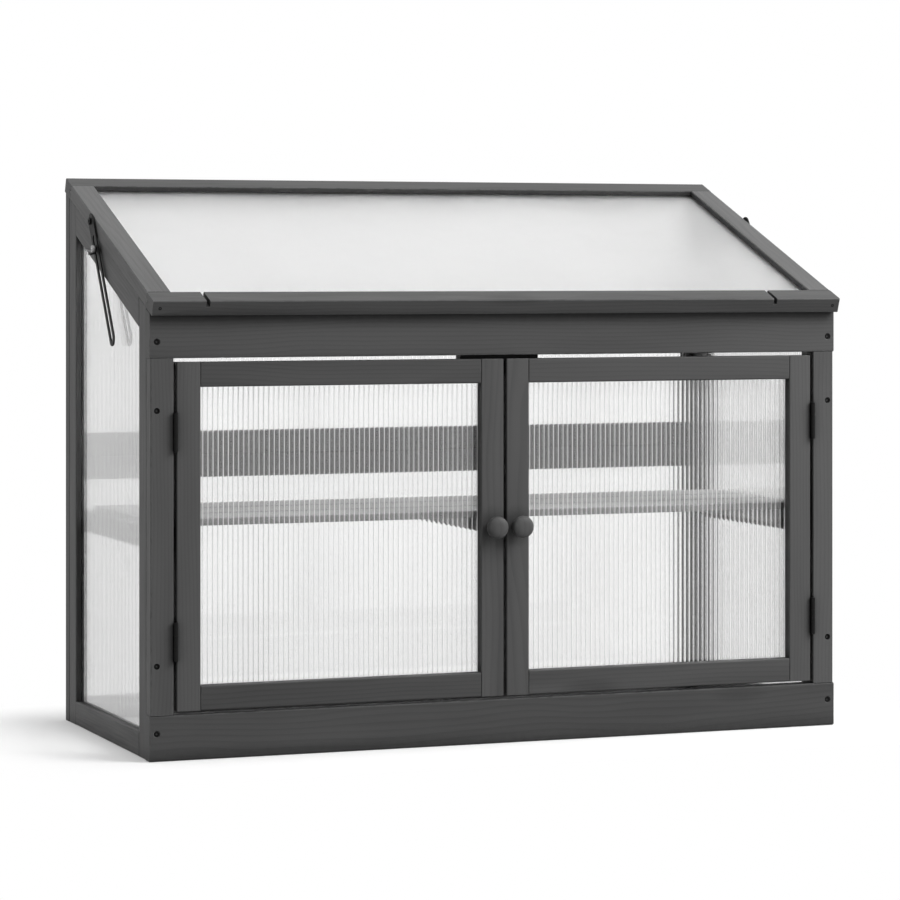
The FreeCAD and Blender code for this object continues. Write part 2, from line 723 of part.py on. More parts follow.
def door_stile(label):
    body = new_body(label)
    section = new_sketch(body, "XY_Plane")
    draw_outline(section, rebated_section())
    ease_edges(body, pad(body, section, DOOR_HEIGHT), "Z")
    return body


def doors():
    rail_length = f"({DOOR_WIDTH} - 2*door_member_width)"
    bite = "(rebate_width - sheet_end_play)"
    top = f"({DOOR_FOOT} + {DOOR_HEIGHT})"
    for name, left in (("left", DOOR_LEFT), ("right", "(case_width/2 + door_centre_gap/2)")):
        right = f"({left} + {DOOR_WIDTH})"
        edges = (("hinge", left), ("meeting", right))
        knob_x = f"({right} - door_member_width/2)"
        if name == "right":
            edges = (("hinge", right), ("meeting", left))
            knob_x = f"({left} + door_member_width/2)"
        for role, edge in edges:
            stile = door_stile(f"{name}_door_{role}_stile")
            if edge == left:
                place(stile, left, "0", DOOR_FOOT)
            else:
                place(stile, right, "0", top, HALF_TURN_Y)
        for role, x, z, turn in (
                ("bottom", f"({left} + door_member_width)", DOOR_FOOT, FreeCAD.Rotation()),
                ("top", f"({right} - door_member_width)", top, HALF_TURN_Y)):
            rail = new_body(f"{name}_door_{role}_rail")
            section = new_sketch(rail, "YZ_Plane")
            draw_outline(section, turned(rebated_section()))
            ease_edges(rail, pad(rail, section, rail_length), "X")
            place(rail, x, "0", z, turn)
        pane = upright_sheet(f"{name}_door_sheet", f"({rail_length} + 2*{bite})",
                             f"({DOOR_HEIGHT} - 2*door_member_width + 2*{bite})", fluted=True)
        place(pane, f"({left} + door_member_width - {bite})",
              "(door_thickness - rebate_depth + sheet_play)",
              f"({DOOR_FOOT} + door_member_width - {bite})")
        knob = turned_piece(f"{name}_door_knob", [
            ("0", "knob_neck_height", "knob_neck_radius"),
            ("knob_neck_height", "knob_projection - knob_neck_height", "knob_radius"),
        ])
        place(knob, knob_x, "0", "(bottom_plank_height + knob_height)", OUT_FRONT)


def door_stop():
    """Block behind the upper plank that both doors close against."""
    block = board("door_stop", "stop_height", "stop_thickness", "stop_width")
    place(block, "(case_width/2 - stop_width/2)", "timber_thickness", f"({OPENING_TOP} - stop_drop)")


# Butt hinges: each leaf lies on wood beside the barrel, whose axis is the leaf's own Z
def hinge_leaf(label, face):
    """Plate of a leaf whose wood is at X minus the face's distance from the barrel's axis."""
    body = new_body(label, is_subpart=False)
    plate = new_sketch(body, "XY_Plane")
    draw_outline(plate, rectangle(f"-({face})", BARREL_OFFSET, "hinge_leaf_thickness", "hinge_leaf_depth"))
    pad(body, plate, "hinge_length")
    return body


def knuckle(body, face, number):
    """Barrel stretch and the neck that joins it to the plate."""
    step = f"(hinge_length/{KNUCKLES})"
    foot = f"({number}*{step} + hinge_knuckle_gap/2)"
    neck = new_sketch(body, "XY_Plane", foot)
    reach = f"{BARREL_OFFSET} + hinge_leaf_depth"
    draw_outline(neck, rectangle(f"-({face})", "0", "hinge_leaf_thickness", reach))
    pad(body, neck, f"{step} - hinge_knuckle_gap")
    barrel = new_sketch(body, "XY_Plane", foot)
    draw_circle(barrel, "0", "0", "hinge_barrel_radius")
    pad(body, barrel, f"{step} - hinge_knuckle_gap")


def pinned_leaf(label, face):
    """Fixed leaf: its outer knuckles hold the pin that the middle one turns on."""
    body = hinge_leaf(label, face)
    for number in range(0, KNUCKLES, 2):
        knuckle(body, face, number)
    pin = new_sketch(body, "XY_Plane", "hinge_knuckle_gap")
    draw_circle(pin, "0", "0", "hinge_pin_radius")
    pad(body, pin, "hinge_length - 2*hinge_knuckle_gap")
    return body


def turning_leaf(label, face):
    """Moving leaf: its middle knuckle is bored for the pin."""
    body = hinge_leaf(label, face)
    for number in range(1, KNUCKLES, 2):
        knuckle(body, face, number)
    bore = new_sketch(body, "XY_Plane")
    draw_circle(bore, "0", "0", "hinge_pin_radius + hinge_pin_play")
    pocket(body, bore, backwards=True)
    return body


def hinges():
    door_face = "door_side_gap/2"
    frame_leaf = pinned_leaf("frame_leaf_shape", door_face)
    door_leaf = turning_leaf("door_leaf_shape", door_face)
    case_leaf = pinned_leaf("case_leaf_shape", BARREL_OFFSET)
    lid_leaf = turning_leaf("lid_leaf_shape", f"{BARREL_OFFSET}*cos({TILT})")
    low = f"{DOOR_FOOT} + hinge_end_distance"
    high = f"{DOOR_FOOT} + {DOOR_HEIGHT} - hinge_end_distance - hinge_length"
    front = f"-({BARREL_OFFSET})"
    left = f"{DOOR_LEFT} - door_side_gap/2"
    right = f"case_width - ({DOOR_LEFT} - door_side_gap/2)"
    # A leaf with its wood on the right is the same leaf turned over end to end.
    turned_low = f"{low} + hinge_length"
    turned_high = f"{high} + hinge_length"
    frame_spots = [
        spot(left, front, low),
        spot(left, front, high),
        spot(right, front, turned_low, HALF_TURN_Y),
        spot(right, front, turned_high, HALF_TURN_Y),
    ]
    gather("left_door_hinge_leaves", door_leaf, [
        spot(left, front, turned_low, HALF_TURN_Y),
        spot(left, front, turned_high, HALF_TURN_Y),
    ])
    gather("right_door_hinge_leaves", door_leaf, [spot(right, front, low), spot(right, front, high)])
    axis_y = f"case_depth + {BARREL_OFFSET}"
    inner_end = "lid_hinge_end_distance"
    outer_end = "case_width - lid_hinge_end_distance - hinge_length"
    slope = FreeCAD.Rotation(X_AXIS, reading(TILT))
    down_the_back = FreeCAD.Rotation(Y_AXIS, -Z_AXIS, -X_AXIS)
    up_the_lid = FreeCAD.Rotation(slope.multVec(Y_AXIS), slope.multVec(Z_AXIS), X_AXIS)
    back_spots = [
        spot(f"{end} + hinge_length", axis_y, LID_REAR_HEIGHT, down_the_back)
        for end in (inner_end, outer_end)]
    gather("case_hinge_leaves", (frame_leaf,)*4 + (case_leaf,)*2, frame_spots + back_spots)
    gather("lid_hinge_leaves", lid_leaf, [
        spot(end, axis_y, LID_REAR_HEIGHT, up_the_lid) for end in (inner_end, outer_end)])


# Shelf: three slats over three battens, lying loose on a cleat at each side
def shelf():
    left = "frame_inset + timber_thickness + shelf_end_play"
    start = "timber_thickness + shelf_setback"
    slat_length = f"({CLEAR_WIDTH} - 2*shelf_end_play)"
    slat = board("shelf_slat_shape", "shelf_slat_thickness", "shelf_slat_width", slat_length, False)
    gather("shelf_slats", slat, [
        spot(left, f"{start} + {number}*(shelf_slat_width + shelf_slat_gap)", SHELF_FOOT)
        for number in range(3)])
    batten = board(
        "shelf_batten_shape", "shelf_batten_height", "shelf_batten_width", SHELF_DEPTH, False)
    low = f"{SHELF_FOOT} - shelf_batten_height"
    inside = f"{left} + cleat_thickness"
    gather("shelf_battens", batten, [
        spot(x, start, low, QUARTER_TURN_Z) for x in (
            f"{inside} + shelf_batten_width",
            "case_width/2 + shelf_batten_width/2",
            f"case_width - ({inside})")])
    for name, x in (
            ("left", "(frame_inset + timber_thickness + cleat_thickness)"),
            ("right", "(case_width - frame_inset - timber_thickness)")):
        cleat = board(f"{name}_shelf_cleat", "cleat_height", "cleat_thickness", INNER_DEPTH)
        place(cleat, x, "timber_thickness", f"({SHELF_FOOT} - cleat_height)", QUARTER_TURN_Z)


# Lid stays: a slotted bar turns on a screw in the lid and slides over a stud with a wing nut
PIVOT_Y = "(case_depth - stay_pivot_setback)"
PIVOT_Z = f"({LID_REAR_HEIGHT} - stay_pivot_setback*{FALL} + {PIVOT_UP}/cos({TILT}))"
BOLT_Y = "(case_depth - stay_bolt_setback)"
BOLT_Z = f"({slope_height(BOLT_Y)} - {SIDE_RAIL_RISE} + {BOLT_UP})"


def stay_bar(label):
    """Slotted bar from its pivot at the origin down its own -Y, with round ends."""
    body = new_body(label)
    for middle in ("0", "-stay_length"):
        end = new_sketch(body, "XY_Plane")
        draw_circle(end, "0", middle, "stay_width/2")
        pad(body, end, "stay_thickness")
    shank = new_sketch(body, "XY_Plane")
    draw_outline(shank, rectangle("-stay_width/2", "-stay_length", "stay_width", "stay_length"))
    pad(body, shank, "stay_thickness")
    hole = new_sketch(body, "XY_Plane")
    draw_circle(hole, "0", "0", "pivot_radius + pivot_play")
    pocket(body, hole, backwards=True)
    for middle in ("-stay_slot_start", "-stay_length"):
        slot_end = new_sketch(body, "XY_Plane")
        draw_circle(slot_end, "0", middle, "stay_slot_width/2")
        pocket(body, slot_end, backwards=True)
    slot = new_sketch(body, "XY_Plane")
    draw_outline(slot, rectangle(
        "-stay_slot_width/2", "-stay_length", "stay_slot_width", "stay_length - stay_slot_start"))
    pocket(body, slot, backwards=True)
    return body


# Outline of a wing, as shares of half its span and of its rise, from the hub round the tip and back
WING_OUTLINE = (
    (0.30, 0.10), (0.68, 0.28), (0.92, 0.62), (1.0, 0.88),
    (0.92, 1.0), (0.72, 1.0), (0.56, 0.8), (0.30, 0.46),
)


def wing_nut(label):
    body = turned_piece(label, [("0", "nut_height", "nut_radius")])
    wings = new_sketch(body, "XZ_Plane", "-nut_wing_thickness/2")
    for sign in ("", "-"):
        draw_outline(wings, [
            (f"{sign}nut_wing_span/2*{out}", f"nut_wing_rise*{up}") for out, up in WING_OUTLINE])
    pad(body, wings, "nut_wing_thickness", backwards=True)
    hole = new_sketch(body, "XY_Plane")
    draw_circle(hole, "0", "0", "bolt_radius + bolt_play")
    pocket(body, hole, backwards=True)
    return body


def stays():
    lean = f"atan(({PIVOT_Y} - {BOLT_Y})/({PIVOT_Z} - {BOLT_Z}))"
    bar_inside = "stay_side_gap"
    bar_outside = "(stay_side_gap + stay_thickness)"
    stud_start = "(frame_inset - stay_end_gap)"
    nut_start = f"({stud_start} + {bar_outside} + stay_play)"
    bolt = headed_rod("stay_bolt_shape", "0", "timber_thickness", "bolt_radius",
                      ("-bolt_head_height", "bolt_head_height", "bolt_head_radius"))
    inner = "frame_inset + timber_thickness"
    gather("stay_bolts", bolt, [
        spot(inner, BOLT_Y, BOLT_Z, OUT_LEFT),
        spot(f"case_width - ({inner})", BOLT_Y, BOLT_Z, OUT_RIGHT),
    ])
    under_head = f"({bar_outside} + stay_play)"
    screw = headed_rod("stay_pivot_shape", "-pivot_bite", f"pivot_bite + {under_head}", "pivot_radius",
                       (under_head, "pivot_head_height", "pivot_head_radius"))
    gather("stay_pivot_screws", screw, [
        spot("0", PIVOT_Y, PIVOT_Z, OUT_LEFT),
        spot("case_width", PIVOT_Y, PIVOT_Z, OUT_RIGHT),
    ])
    tilt_back = FreeCAD.Rotation(X_AXIS, -reading(lean))
    for name, face, sign, outward in (
            ("left", "0", "-", OUT_LEFT), ("right", "case_width", "+", OUT_RIGHT)):
        bar = stay_bar(f"{name}_stay_bar")
        # The bar hangs down its own -Y; standing it up turns that to -Z before it leans.
        upright_bar = FreeCAD.Rotation(Y_AXIS, Z_AXIS, X_AXIS)
        start = bar_outside if name == "left" else bar_inside
        place(bar, f"({face} {sign} {start})", PIVOT_Y, PIVOT_Z, tilt_back.multiply(upright_bar))
        stud = turned_piece(f"{name}_stay_stud", [("0", "stud_length", "bolt_radius")])
        foot = f"({face} {sign} (-{stud_start}))"
        place(stud, foot, BOLT_Y, BOLT_Z, outward)
        nut = wing_nut(f"{name}_wing_nut")
        turn = FreeCAD.Rotation(Z_AXIS, NUT_REST_TURN)
        place(nut, f"({foot} {sign} {nut_start})", BOLT_Y, BOLT_Z, outward.multiply(turn))


front_planks()
posts()
sides()
back()
lid()
doors()
door_stop()
hinges()
shelf()
stays()
doc.recompute()

# Every feature has to be sound, and every cut has to have taken something away.
faults = []
for item in doc.Objects:
    if "Invalid" in item.State or "Error" in item.State:
        faults.append(f"{item.Label} is {item.State}")
    if item.TypeId == "PartDesign::Pocket" and item.Shape.Volume > item.BaseFeature.Shape.Volume - 0.01:
        faults.append(f"{item.Label} cuts nothing")
for piece in subparts:
    if piece.Shape.isNull() or not piece.Shape.isValid():
        faults.append(f"{piece.Label} has no sound shape")
if faults:
    raise RuntimeError("; ".join(faults))

os.makedirs("parts", exist_ok=True)
for piece in subparts:
    piece.Shape.exportStep(f"parts/{piece.Label}.step")
print(len(subparts), "sub-parts written")
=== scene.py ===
import math

import bmesh
import bpy
from mathutils import Matrix, Vector


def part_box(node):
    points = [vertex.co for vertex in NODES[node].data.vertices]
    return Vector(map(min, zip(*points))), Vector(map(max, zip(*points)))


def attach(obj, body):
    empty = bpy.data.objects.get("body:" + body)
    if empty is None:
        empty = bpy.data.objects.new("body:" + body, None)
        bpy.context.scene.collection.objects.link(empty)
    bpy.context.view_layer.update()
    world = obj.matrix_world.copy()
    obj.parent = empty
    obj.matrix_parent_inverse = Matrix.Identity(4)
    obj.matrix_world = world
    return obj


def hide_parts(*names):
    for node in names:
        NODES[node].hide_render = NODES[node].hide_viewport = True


# Looks of the wooden mini greenhouse, in metres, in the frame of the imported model: X along the
# front, Y from front to back, Z up, with the floor at Z 0.

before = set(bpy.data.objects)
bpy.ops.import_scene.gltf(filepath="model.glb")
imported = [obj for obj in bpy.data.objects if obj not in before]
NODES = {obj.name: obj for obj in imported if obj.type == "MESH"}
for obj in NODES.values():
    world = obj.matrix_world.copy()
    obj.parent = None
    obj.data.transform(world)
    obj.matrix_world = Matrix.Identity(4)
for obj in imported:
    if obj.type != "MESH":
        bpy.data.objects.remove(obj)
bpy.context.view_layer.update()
MM = 0.001
SIDES = {"left": -1, "right": 1}


def low(node):
    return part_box(node)[0]


def high(node):
    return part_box(node)[1]


# Directions and levels that the pieces share, read from the frame
FRONT_Y = low("front_bottom_plank").y
CASE_HALF = high("front_bottom_plank").x
CASE_RISE = high("left_side_rear_stile").z - high("left_side_front_stile").z
CASE_RUN = high("left_side_rear_stile").y - high("left_side_front_stile").y
TILT = math.atan2(CASE_RISE, CASE_RUN)
SHEET_THICKNESS = high("left_side_sheet").x - low("left_side_sheet").x
FLUTE_PITCH = 7.0 * MM
FLUTE_WALL = 0.8 * MM
FLUTE_SKIN = 0.6 * MM
AXIS_X = Vector((1, 0, 0))
AXIS_Y = Vector((0, 1, 0))
AXIS_Z = Vector((0, 0, 1))


def lid_directions():
    """Up the slope of the lid, and square to it."""
    slope = Vector((0, math.cos(TILT), math.sin(TILT)))
    return slope, Vector((0, -math.sin(TILT), math.cos(TILT)))


# Camera: level, at the photograph's height, with the picture's window shifted down
IMAGE_SIDE = 900
SENSOR = 36.0
CAMERA_FOCUS = 3344.6  # focal length in pixels of the photograph
CAMERA_PLACE = Vector((-1.70044, -4.41973, 0.6474))
CAMERA_YAW = math.radians(21.05)
HORIZON_ROW = 265.86


def camera():
    data = bpy.data.cameras.new("camera")
    data.sensor_width = SENSOR
    data.lens = CAMERA_FOCUS / IMAGE_SIDE * SENSOR
    data.shift_y = (HORIZON_ROW - IMAGE_SIDE / 2) / IMAGE_SIDE
    eye = bpy.data.objects.new("camera", data)
    eye.location = CAMERA_PLACE
    eye.rotation_euler = (math.radians(90), 0, -CAMERA_YAW)
    bpy.context.scene.collection.objects.link(eye)
    bpy.context.scene.camera = eye


# Shader helpers
def link(tree, source, target):
    tree.links.new(source, target)


def give(tree, value, socket):
    """Set a socket to a number or colour, or link another socket to it."""
    if hasattr(value, "links"):
        link(tree, value, socket)
    else:
        socket.default_value = value


def node(tree, kind, **settings):
    made = tree.nodes.new(kind)
    for name, value in settings.items():
        setattr(made, name, value)
    return made


def math_node(tree, operation, first, second=None, clamp=False):
    made = node(tree, "ShaderNodeMath", operation=operation, use_clamp=clamp)
    for socket, value in zip(made.inputs, (first, second)):
        if value is not None:
            give(tree, value, socket)
    return made.outputs[0]


def ramp(tree, source, low_in, high_in, low_out, high_out, smooth=True):
    made = node(tree, "ShaderNodeMapRange", interpolation_type="SMOOTHSTEP" if smooth else "LINEAR")
    link(tree, source, made.inputs["Value"])
    ends = (("From Min", low_in), ("From Max", high_in), ("To Min", low_out), ("To Max", high_out))
    for name, value in ends:
        give(tree, value, made.inputs[name])
    return made.outputs["Result"]


def noise(tree, vector, scale, detail, roughness=0.5):
    made = node(tree, "ShaderNodeTexNoise")
    link(tree, vector, made.inputs["Vector"])
    give(tree, scale, made.inputs["Scale"])
    made.inputs["Detail"].default_value = detail
    made.inputs["Roughness"].default_value = roughness
    return made.outputs["Fac"]


def mapped(tree, vector, scale=(1, 1, 1), rotation=(0, 0, 0)):
    made = node(tree, "ShaderNodeMapping")
    link(tree, vector, made.inputs["Vector"])
    made.inputs["Scale"].default_value = scale
    made.inputs["Rotation"].default_value = rotation
    return made.outputs["Vector"]


def added(tree, first, second):
    made = node(tree, "ShaderNodeVectorMath", operation="ADD")
    link(tree, first, made.inputs[0])
    link(tree, second, made.inputs[1])
    return made.outputs["Vector"]


def mix_colour(tree, factor, first, second):
    made = node(tree, "ShaderNodeMix", data_type="RGBA")
    link(tree, factor, made.inputs["Factor"])
    give(tree, first, made.inputs[6])
    give(tree, second, made.inputs[7])
    return made.outputs[2]


def bump(tree, height, strength, depth):
    made = node(tree, "ShaderNodeBump")
    made.inputs["Strength"].default_value = strength
    made.inputs["Distance"].default_value = depth
    link(tree, height, made.inputs["Height"])
    return made.outputs["Normal"]


def grey(level):
    """Linear colour of a grey given as a level from 0 to 255."""
    share = level / 255
    value = share / 12.92 if share <= 0.04045 else ((share + 0.055) / 1.055) ** 2.4
    return (value, value, value, 1.0)


def new_group(name, inputs, outputs):
    tree = bpy.data.node_groups.new(name, "ShaderNodeTree")
    for label, kind, value in inputs:
        socket = tree.interface.new_socket(name=label, in_out="INPUT", socket_type=kind)
        if value is not None:
            socket.default_value = value
    for label in outputs:
        tree.interface.new_socket(name=label, in_out="OUTPUT", socket_type="NodeSocketFloat")
    return tree, node(tree, "NodeGroupInput"), node(tree, "NodeGroupOutput")


def use_group(tree, name, **values):
    made = node(tree, "ShaderNodeGroup")
    made.node_tree = bpy.data.node_groups[name]
    for label, value in values.items():
        give(tree, value, made.inputs[label.replace("_", " ")])
    return made.outputs


def new_material(name):
    material = bpy.data.materials.new(name)
    material.use_nodes = True
    tree = material.node_tree
    tree.nodes.clear()
    output = node(tree, "ShaderNodeOutputMaterial")
    shader = node(tree, "ShaderNodeBsdfPrincipled")
    link(tree, shader.outputs["BSDF"], output.inputs["Surface"])
    return material, tree, shader


def object_place(tree):
    return node(tree, "ShaderNodeTexCoord").outputs["Object"]


# Timber grain: X of the incoming vector runs along the fibres. Growth rings are curved round a
# pith that lies outside the board, so that faces show long streaks and ends show arcs.
PITH_Y = 0.061  # metres from the X axis to the pith
PITH_Z = 0.043
RING_WANDER = 0.034
BROAD_STRETCH = (1.3, 11, 11)
WANDER_STRETCH = (2.4, 7, 7)
FIBRE_STRETCH = (13, 560, 560)
KNOT_STRETCH = (2.6, 9.5, 9.5)


def make_grain_group():
    tree, given, out = new_group(
        "timber_grain",
        [("Vector", "NodeSocketVector", None), ("Ring Spacing", "NodeSocketFloat", 0.005)],
        ["Streak", "Fibre", "Knot", "Broad"])
    place = given.outputs["Vector"]
    broad = noise(tree, mapped(tree, place, BROAD_STRETCH), scale=1.7, detail=2.0)
    wander = noise(tree, mapped(tree, place, WANDER_STRETCH), scale=1.0, detail=2.0)
    apart = node(tree, "ShaderNodeSeparateXYZ")
    link(tree, place, apart.inputs[0])
    across = math_node(tree, "ADD", apart.outputs["Y"], PITH_Y)
    depth = math_node(tree, "ADD", apart.outputs["Z"], PITH_Z)
    across_square = math_node(tree, "MULTIPLY", across, across)
    depth_square = math_node(tree, "MULTIPLY", depth, depth)
    radius = math_node(tree, "SQRT", math_node(tree, "ADD", across_square, depth_square))
    radius = math_node(tree, "ADD", radius, math_node(tree, "MULTIPLY", wander, RING_WANDER))
    saw = math_node(tree, "FRACT", math_node(tree, "DIVIDE", radius, given.outputs["Ring Spacing"]))
    late = ramp(tree, saw, 0.35, 0.92, 0.0, 1.0)
    drop = ramp(tree, saw, 0.92, 1.0, 1.0, 0.0)
    streak = math_node(tree, "MULTIPLY", late, drop)
    fibre = noise(tree, mapped(tree, place, FIBRE_STRETCH), scale=1.0, detail=3.0, roughness=0.65)
    cells = node(tree, "ShaderNodeTexVoronoi")
    link(tree, mapped(tree, place, KNOT_STRETCH), cells.inputs["Vector"])
    cells.inputs["Scale"].default_value = 1.0
    knot = ramp(tree, cells.outputs["Distance"], 0.05, 0.16, 1.0, 0.0)
    for label, value in (("Streak", streak), ("Fibre", fibre), ("Knot", knot), ("Broad", broad)):
        link(tree, value, out.inputs[label])


# Wear and painted highlight along arrises, where the rounded normal departs from the true one, in
# patches
PATCH_EDGE = 0.14  # how softly a patch ends


def make_rub_and_highlight_group():
    tree, given, out = new_group(
        "edge_rub_and_highlight",
        [("Vector", "NodeSocketVector", None), ("Radius", "NodeSocketFloat", 0.001),
         ("Patch Scale", "NodeSocketFloat", 60.0), ("Bare Share", "NodeSocketFloat", 0.5)],
        ["Bare"])
    rounded = node(tree, "ShaderNodeBevel", samples=2)
    link(tree, given.outputs["Radius"], rounded.inputs["Radius"])
    true = node(tree, "ShaderNodeNewGeometry")
    meet = node(tree, "ShaderNodeVectorMath", operation="DOT_PRODUCT")
    link(tree, rounded.outputs["Normal"], meet.inputs[0])
    link(tree, true.outputs["True Normal"], meet.inputs[1])
    edge = ramp(tree, meet.outputs["Value"], 0.80, 0.985, 1.0, 0.0)
    patches = noise(tree, given.outputs["Vector"], scale=given.outputs["Patch Scale"], detail=4.0)
    threshold = math_node(tree, "SUBTRACT", 1.0, given.outputs["Bare Share"])
    whole = math_node(tree, "ADD", threshold, PATCH_EDGE)
    patched = ramp(tree, patches, threshold, whole, 0.0, 1.0)
    link(tree, math_node(tree, "MULTIPLY", edge, patched), out.inputs["Bare"])


# Painted shade in corners, grooves and gaps: the paint is darkened, in patches, where occlusion
# finds them
def make_recess_shade_group():
    tree, given, out = new_group(
        "recess_painted_shade",
        [("Reach", "NodeSocketFloat", 0.02), ("Vector", "NodeSocketVector", None)],
        ["Dirt"])
    hidden = node(tree, "ShaderNodeAmbientOcclusion", samples=2)
    link(tree, given.outputs["Reach"], hidden.inputs["Distance"])
    mottled = noise(tree, given.outputs["Vector"], scale=90.0, detail=3.0, roughness=0.6)
    closed = ramp(tree, hidden.outputs["AO"], 0.30, 0.97, 1.0, 0.0)
    patchy = ramp(tree, mottled, 0.2, 0.7, 0.75, 1.0)
    link(tree, math_node(tree, "MULTIPLY", closed, patchy), out.inputs["Dirt"])


# Fine mottle of rolled, plated and extruded surfaces
def make_mottle_group():
    tree, given, out = new_group(
        "fine_mottle", [("Vector", "NodeSocketVector", None), ("Scale", "NodeSocketFloat", 400.0)],
        ["Speck", "Cloud"])
    for label, share, detail in (("Speck", 1.0, 2.0), ("Cloud", 0.08, 4.0)):
        scale = math_node(tree, "MULTIPLY", given.outputs["Scale"], share)
        link(tree, noise(tree, given.outputs["Vector"], scale, detail), out.inputs[label])


# Paint of the boards, by the direction in which their grain runs
GRAIN_TURNS = {
    "x": (0, 0, 0),
    "y": (0, 0, math.radians(-90)),
    "z": (0, math.radians(90), 0),
    "slope": (-TILT, 0, math.radians(-90)),
}
PAINTS = {  # grey levels: dark tone, light tone, and the arrises' tone, rubbed and painted lighter as a painted highlight
    "painted_timber": (60, 78, 120),
    "shelf_timber": (114, 134, 156),
    # painted shade: the back's boards carry the same paint as the rest, given darker levels
    "back_timber_painted_shade": (50, 64, 100),
}
# painted light: a board is painted lighter by the way its grain runs, standing for the light that
# faces of that direction get; the sloping lid rails most
PAINTED_LIGHT_LIFT = {"x": 0, "y": 4, "z": 6, "slope": 17}  # levels by which a board is lighter, by its grain
# painted shade on the narrow faces of the shelf's boards
SHELF_EDGE_PAINTED_SHADE = grey(90)
# painted shade: the dark tone that corners, grooves and gaps are painted towards, and how far
PAINTED_SHADE_TONE = grey(22)
PAINTED_SHADE_MOST = 0.95
# painted highlight and wear: how far the arrises go to their lighter tone
RUB_AND_HIGHLIGHT_MOST = 0.75
PAINT_SPECULAR = 0.2
PAINT_ROUGHNESS = (0.50, 0.64)
BOARD_SHIFT = {"X": 3.1, "Y": 0.07, "Z": 0.05}  # metres by which the grain of boards may differ


def shelf_edge_shade(tree):
    """1 on the narrow faces at the front and back of the shelf's boards, which are painted darker
    as painted shade.
    """
    place = node(tree, "ShaderNodeTexCoord")
    apart = node(tree, "ShaderNodeSeparateXYZ")
    link(tree, place.outputs["Normal"], apart.inputs[0])
    return ramp(tree, math_node(tree, "ABSOLUTE", apart.outputs["Y"]), 0.5, 0.9, 0.0, 1.0)


def painted_timber(paint, direction):
    """Thin grey paint that shows the grain below it, with wear and a painted highlight on the
    arrises, painted shade in recesses, and painted light by the grain's direction.
    """
    material, tree, shader = new_material(f"{paint}_{direction}")
    dark, light, rub_and_highlight_tone = (grey(level + PAINTED_LIGHT_LIFT[direction]) for level in PAINTS[paint])
    along = mapped(tree, object_place(tree), rotation=GRAIN_TURNS[direction])
    which = node(tree, "ShaderNodeObjectInfo").outputs["Random"]
    away = node(tree, "ShaderNodeCombineXYZ")
    for axis, reach in BOARD_SHIFT.items():
        link(tree, math_node(tree, "MULTIPLY", which, reach), away.inputs[axis])
    moved = added(tree, along, away.outputs["Vector"])
    wood = use_group(tree, "timber_grain", Vector=moved, Ring_Spacing=5.2 * MM)
    rub_and_highlight = use_group(
        tree, "edge_rub_and_highlight", Vector=moved, Radius=1.1 * MM, Patch_Scale=70.0, Bare_Share=0.62)
    # painted shade in recesses, from occlusion, darkens the paint below
    recess_shade = use_group(tree, "recess_painted_shade", Vector=moved, Reach=22 * MM)
    tone = ramp(tree, wood["Broad"], 0.3, 0.7, 0.0, 0.55)
    for operation, value, share in (
            ("ADD", wood["Fibre"], 0.35), ("SUBTRACT", wood["Streak"], 0.22),
            ("SUBTRACT", wood["Knot"], 0.5), ("ADD", which, 0.2)):
        part = math_node(tree, "MULTIPLY", value, share)
        tone = math_node(tree, operation, tone, part, clamp=value is which)
    colour = mix_colour(tree, tone, dark, light)
    rub_and_highlight_share = math_node(tree, "MULTIPLY", rub_and_highlight["Bare"], RUB_AND_HIGHLIGHT_MOST)
    colour = mix_colour(tree, rub_and_highlight_share, colour, rub_and_highlight_tone)
    shade_share = math_node(tree, "MULTIPLY", recess_shade["Dirt"], PAINTED_SHADE_MOST)
    colour = mix_colour(tree, shade_share, colour, PAINTED_SHADE_TONE)
    if paint == "shelf_timber":
        colour = mix_colour(tree, shelf_edge_shade(tree), colour, SHELF_EDGE_PAINTED_SHADE)
    link(tree, colour, shader.inputs["Base Color"])
    link(tree, ramp(tree, wood["Fibre"], 0.3, 0.7, *PAINT_ROUGHNESS), shader.inputs["Roughness"])
    shader.inputs["Specular IOR Level"].default_value = PAINT_SPECULAR
    height = math_node(tree, "MULTIPLY", wood["Fibre"], 0.6)
    for value, share in ((wood["Streak"], 0.35), (rub_and_highlight["Bare"], 0.3)):
        height = math_node(tree, "SUBTRACT", height, math_node(tree, "MULTIPLY", value, share))
    link(tree, bump(tree, height, 0.3, 0.35 * MM), shader.inputs["Normal"])
    return material


# Twin-wall sheet and steel
BLACK_SPECULAR = 0.15
STEEL_RUB_MOST = 0.6
SHEET_IOR = 1.49
SHADE_OF_SHEET = grey(250)  # what a sheet leaves of the light that falls straight through it


def blended(tree, share, first, second):
    """Put a mix of two shaders on the material's output."""
    output = next(item for item in tree.nodes if item.type == "OUTPUT_MATERIAL")
    blend = node(tree, "ShaderNodeMixShader")
    link(tree, share, blend.inputs["Fac"])
    link(tree, first, blend.inputs[1])
    link(tree, second, blend.inputs[2])
    link(tree, blend.outputs["Shader"], output.inputs["Surface"])


def sheet_material(name, clarity, roughness, unseen=0.0, tone=253):
    """Twin-wall sheet: the light that it throws back and lets through makes its colour."""
    material, tree, shader = new_material(name)
    haze = use_group(tree, "fine_mottle", Vector=object_place(tree), Scale=120.0)
    colour = mix_colour(tree, haze["Cloud"], grey(tone), grey(tone + 2))
    link(tree, colour, shader.inputs["Base Color"])
    rough = ramp(tree, haze["Cloud"], 0.3, 0.7, roughness, roughness * 1.4)
    link(tree, rough, shader.inputs["Roughness"])
    shader.inputs["IOR"].default_value = SHEET_IOR
    shader.inputs["Transmission Weight"].default_value = clarity
    ways = node(tree, "ShaderNodeLightPath")
    through = node(tree, "ShaderNodeBsdfTransparent")
    through.inputs["Color"].default_value = SHADE_OF_SHEET
    share = math_node(tree, "MAXIMUM", ways.outputs["Is Shadow Ray"], unseen)
    blended(tree, share, shader.outputs["BSDF"], through.outputs["BSDF"])
    return material


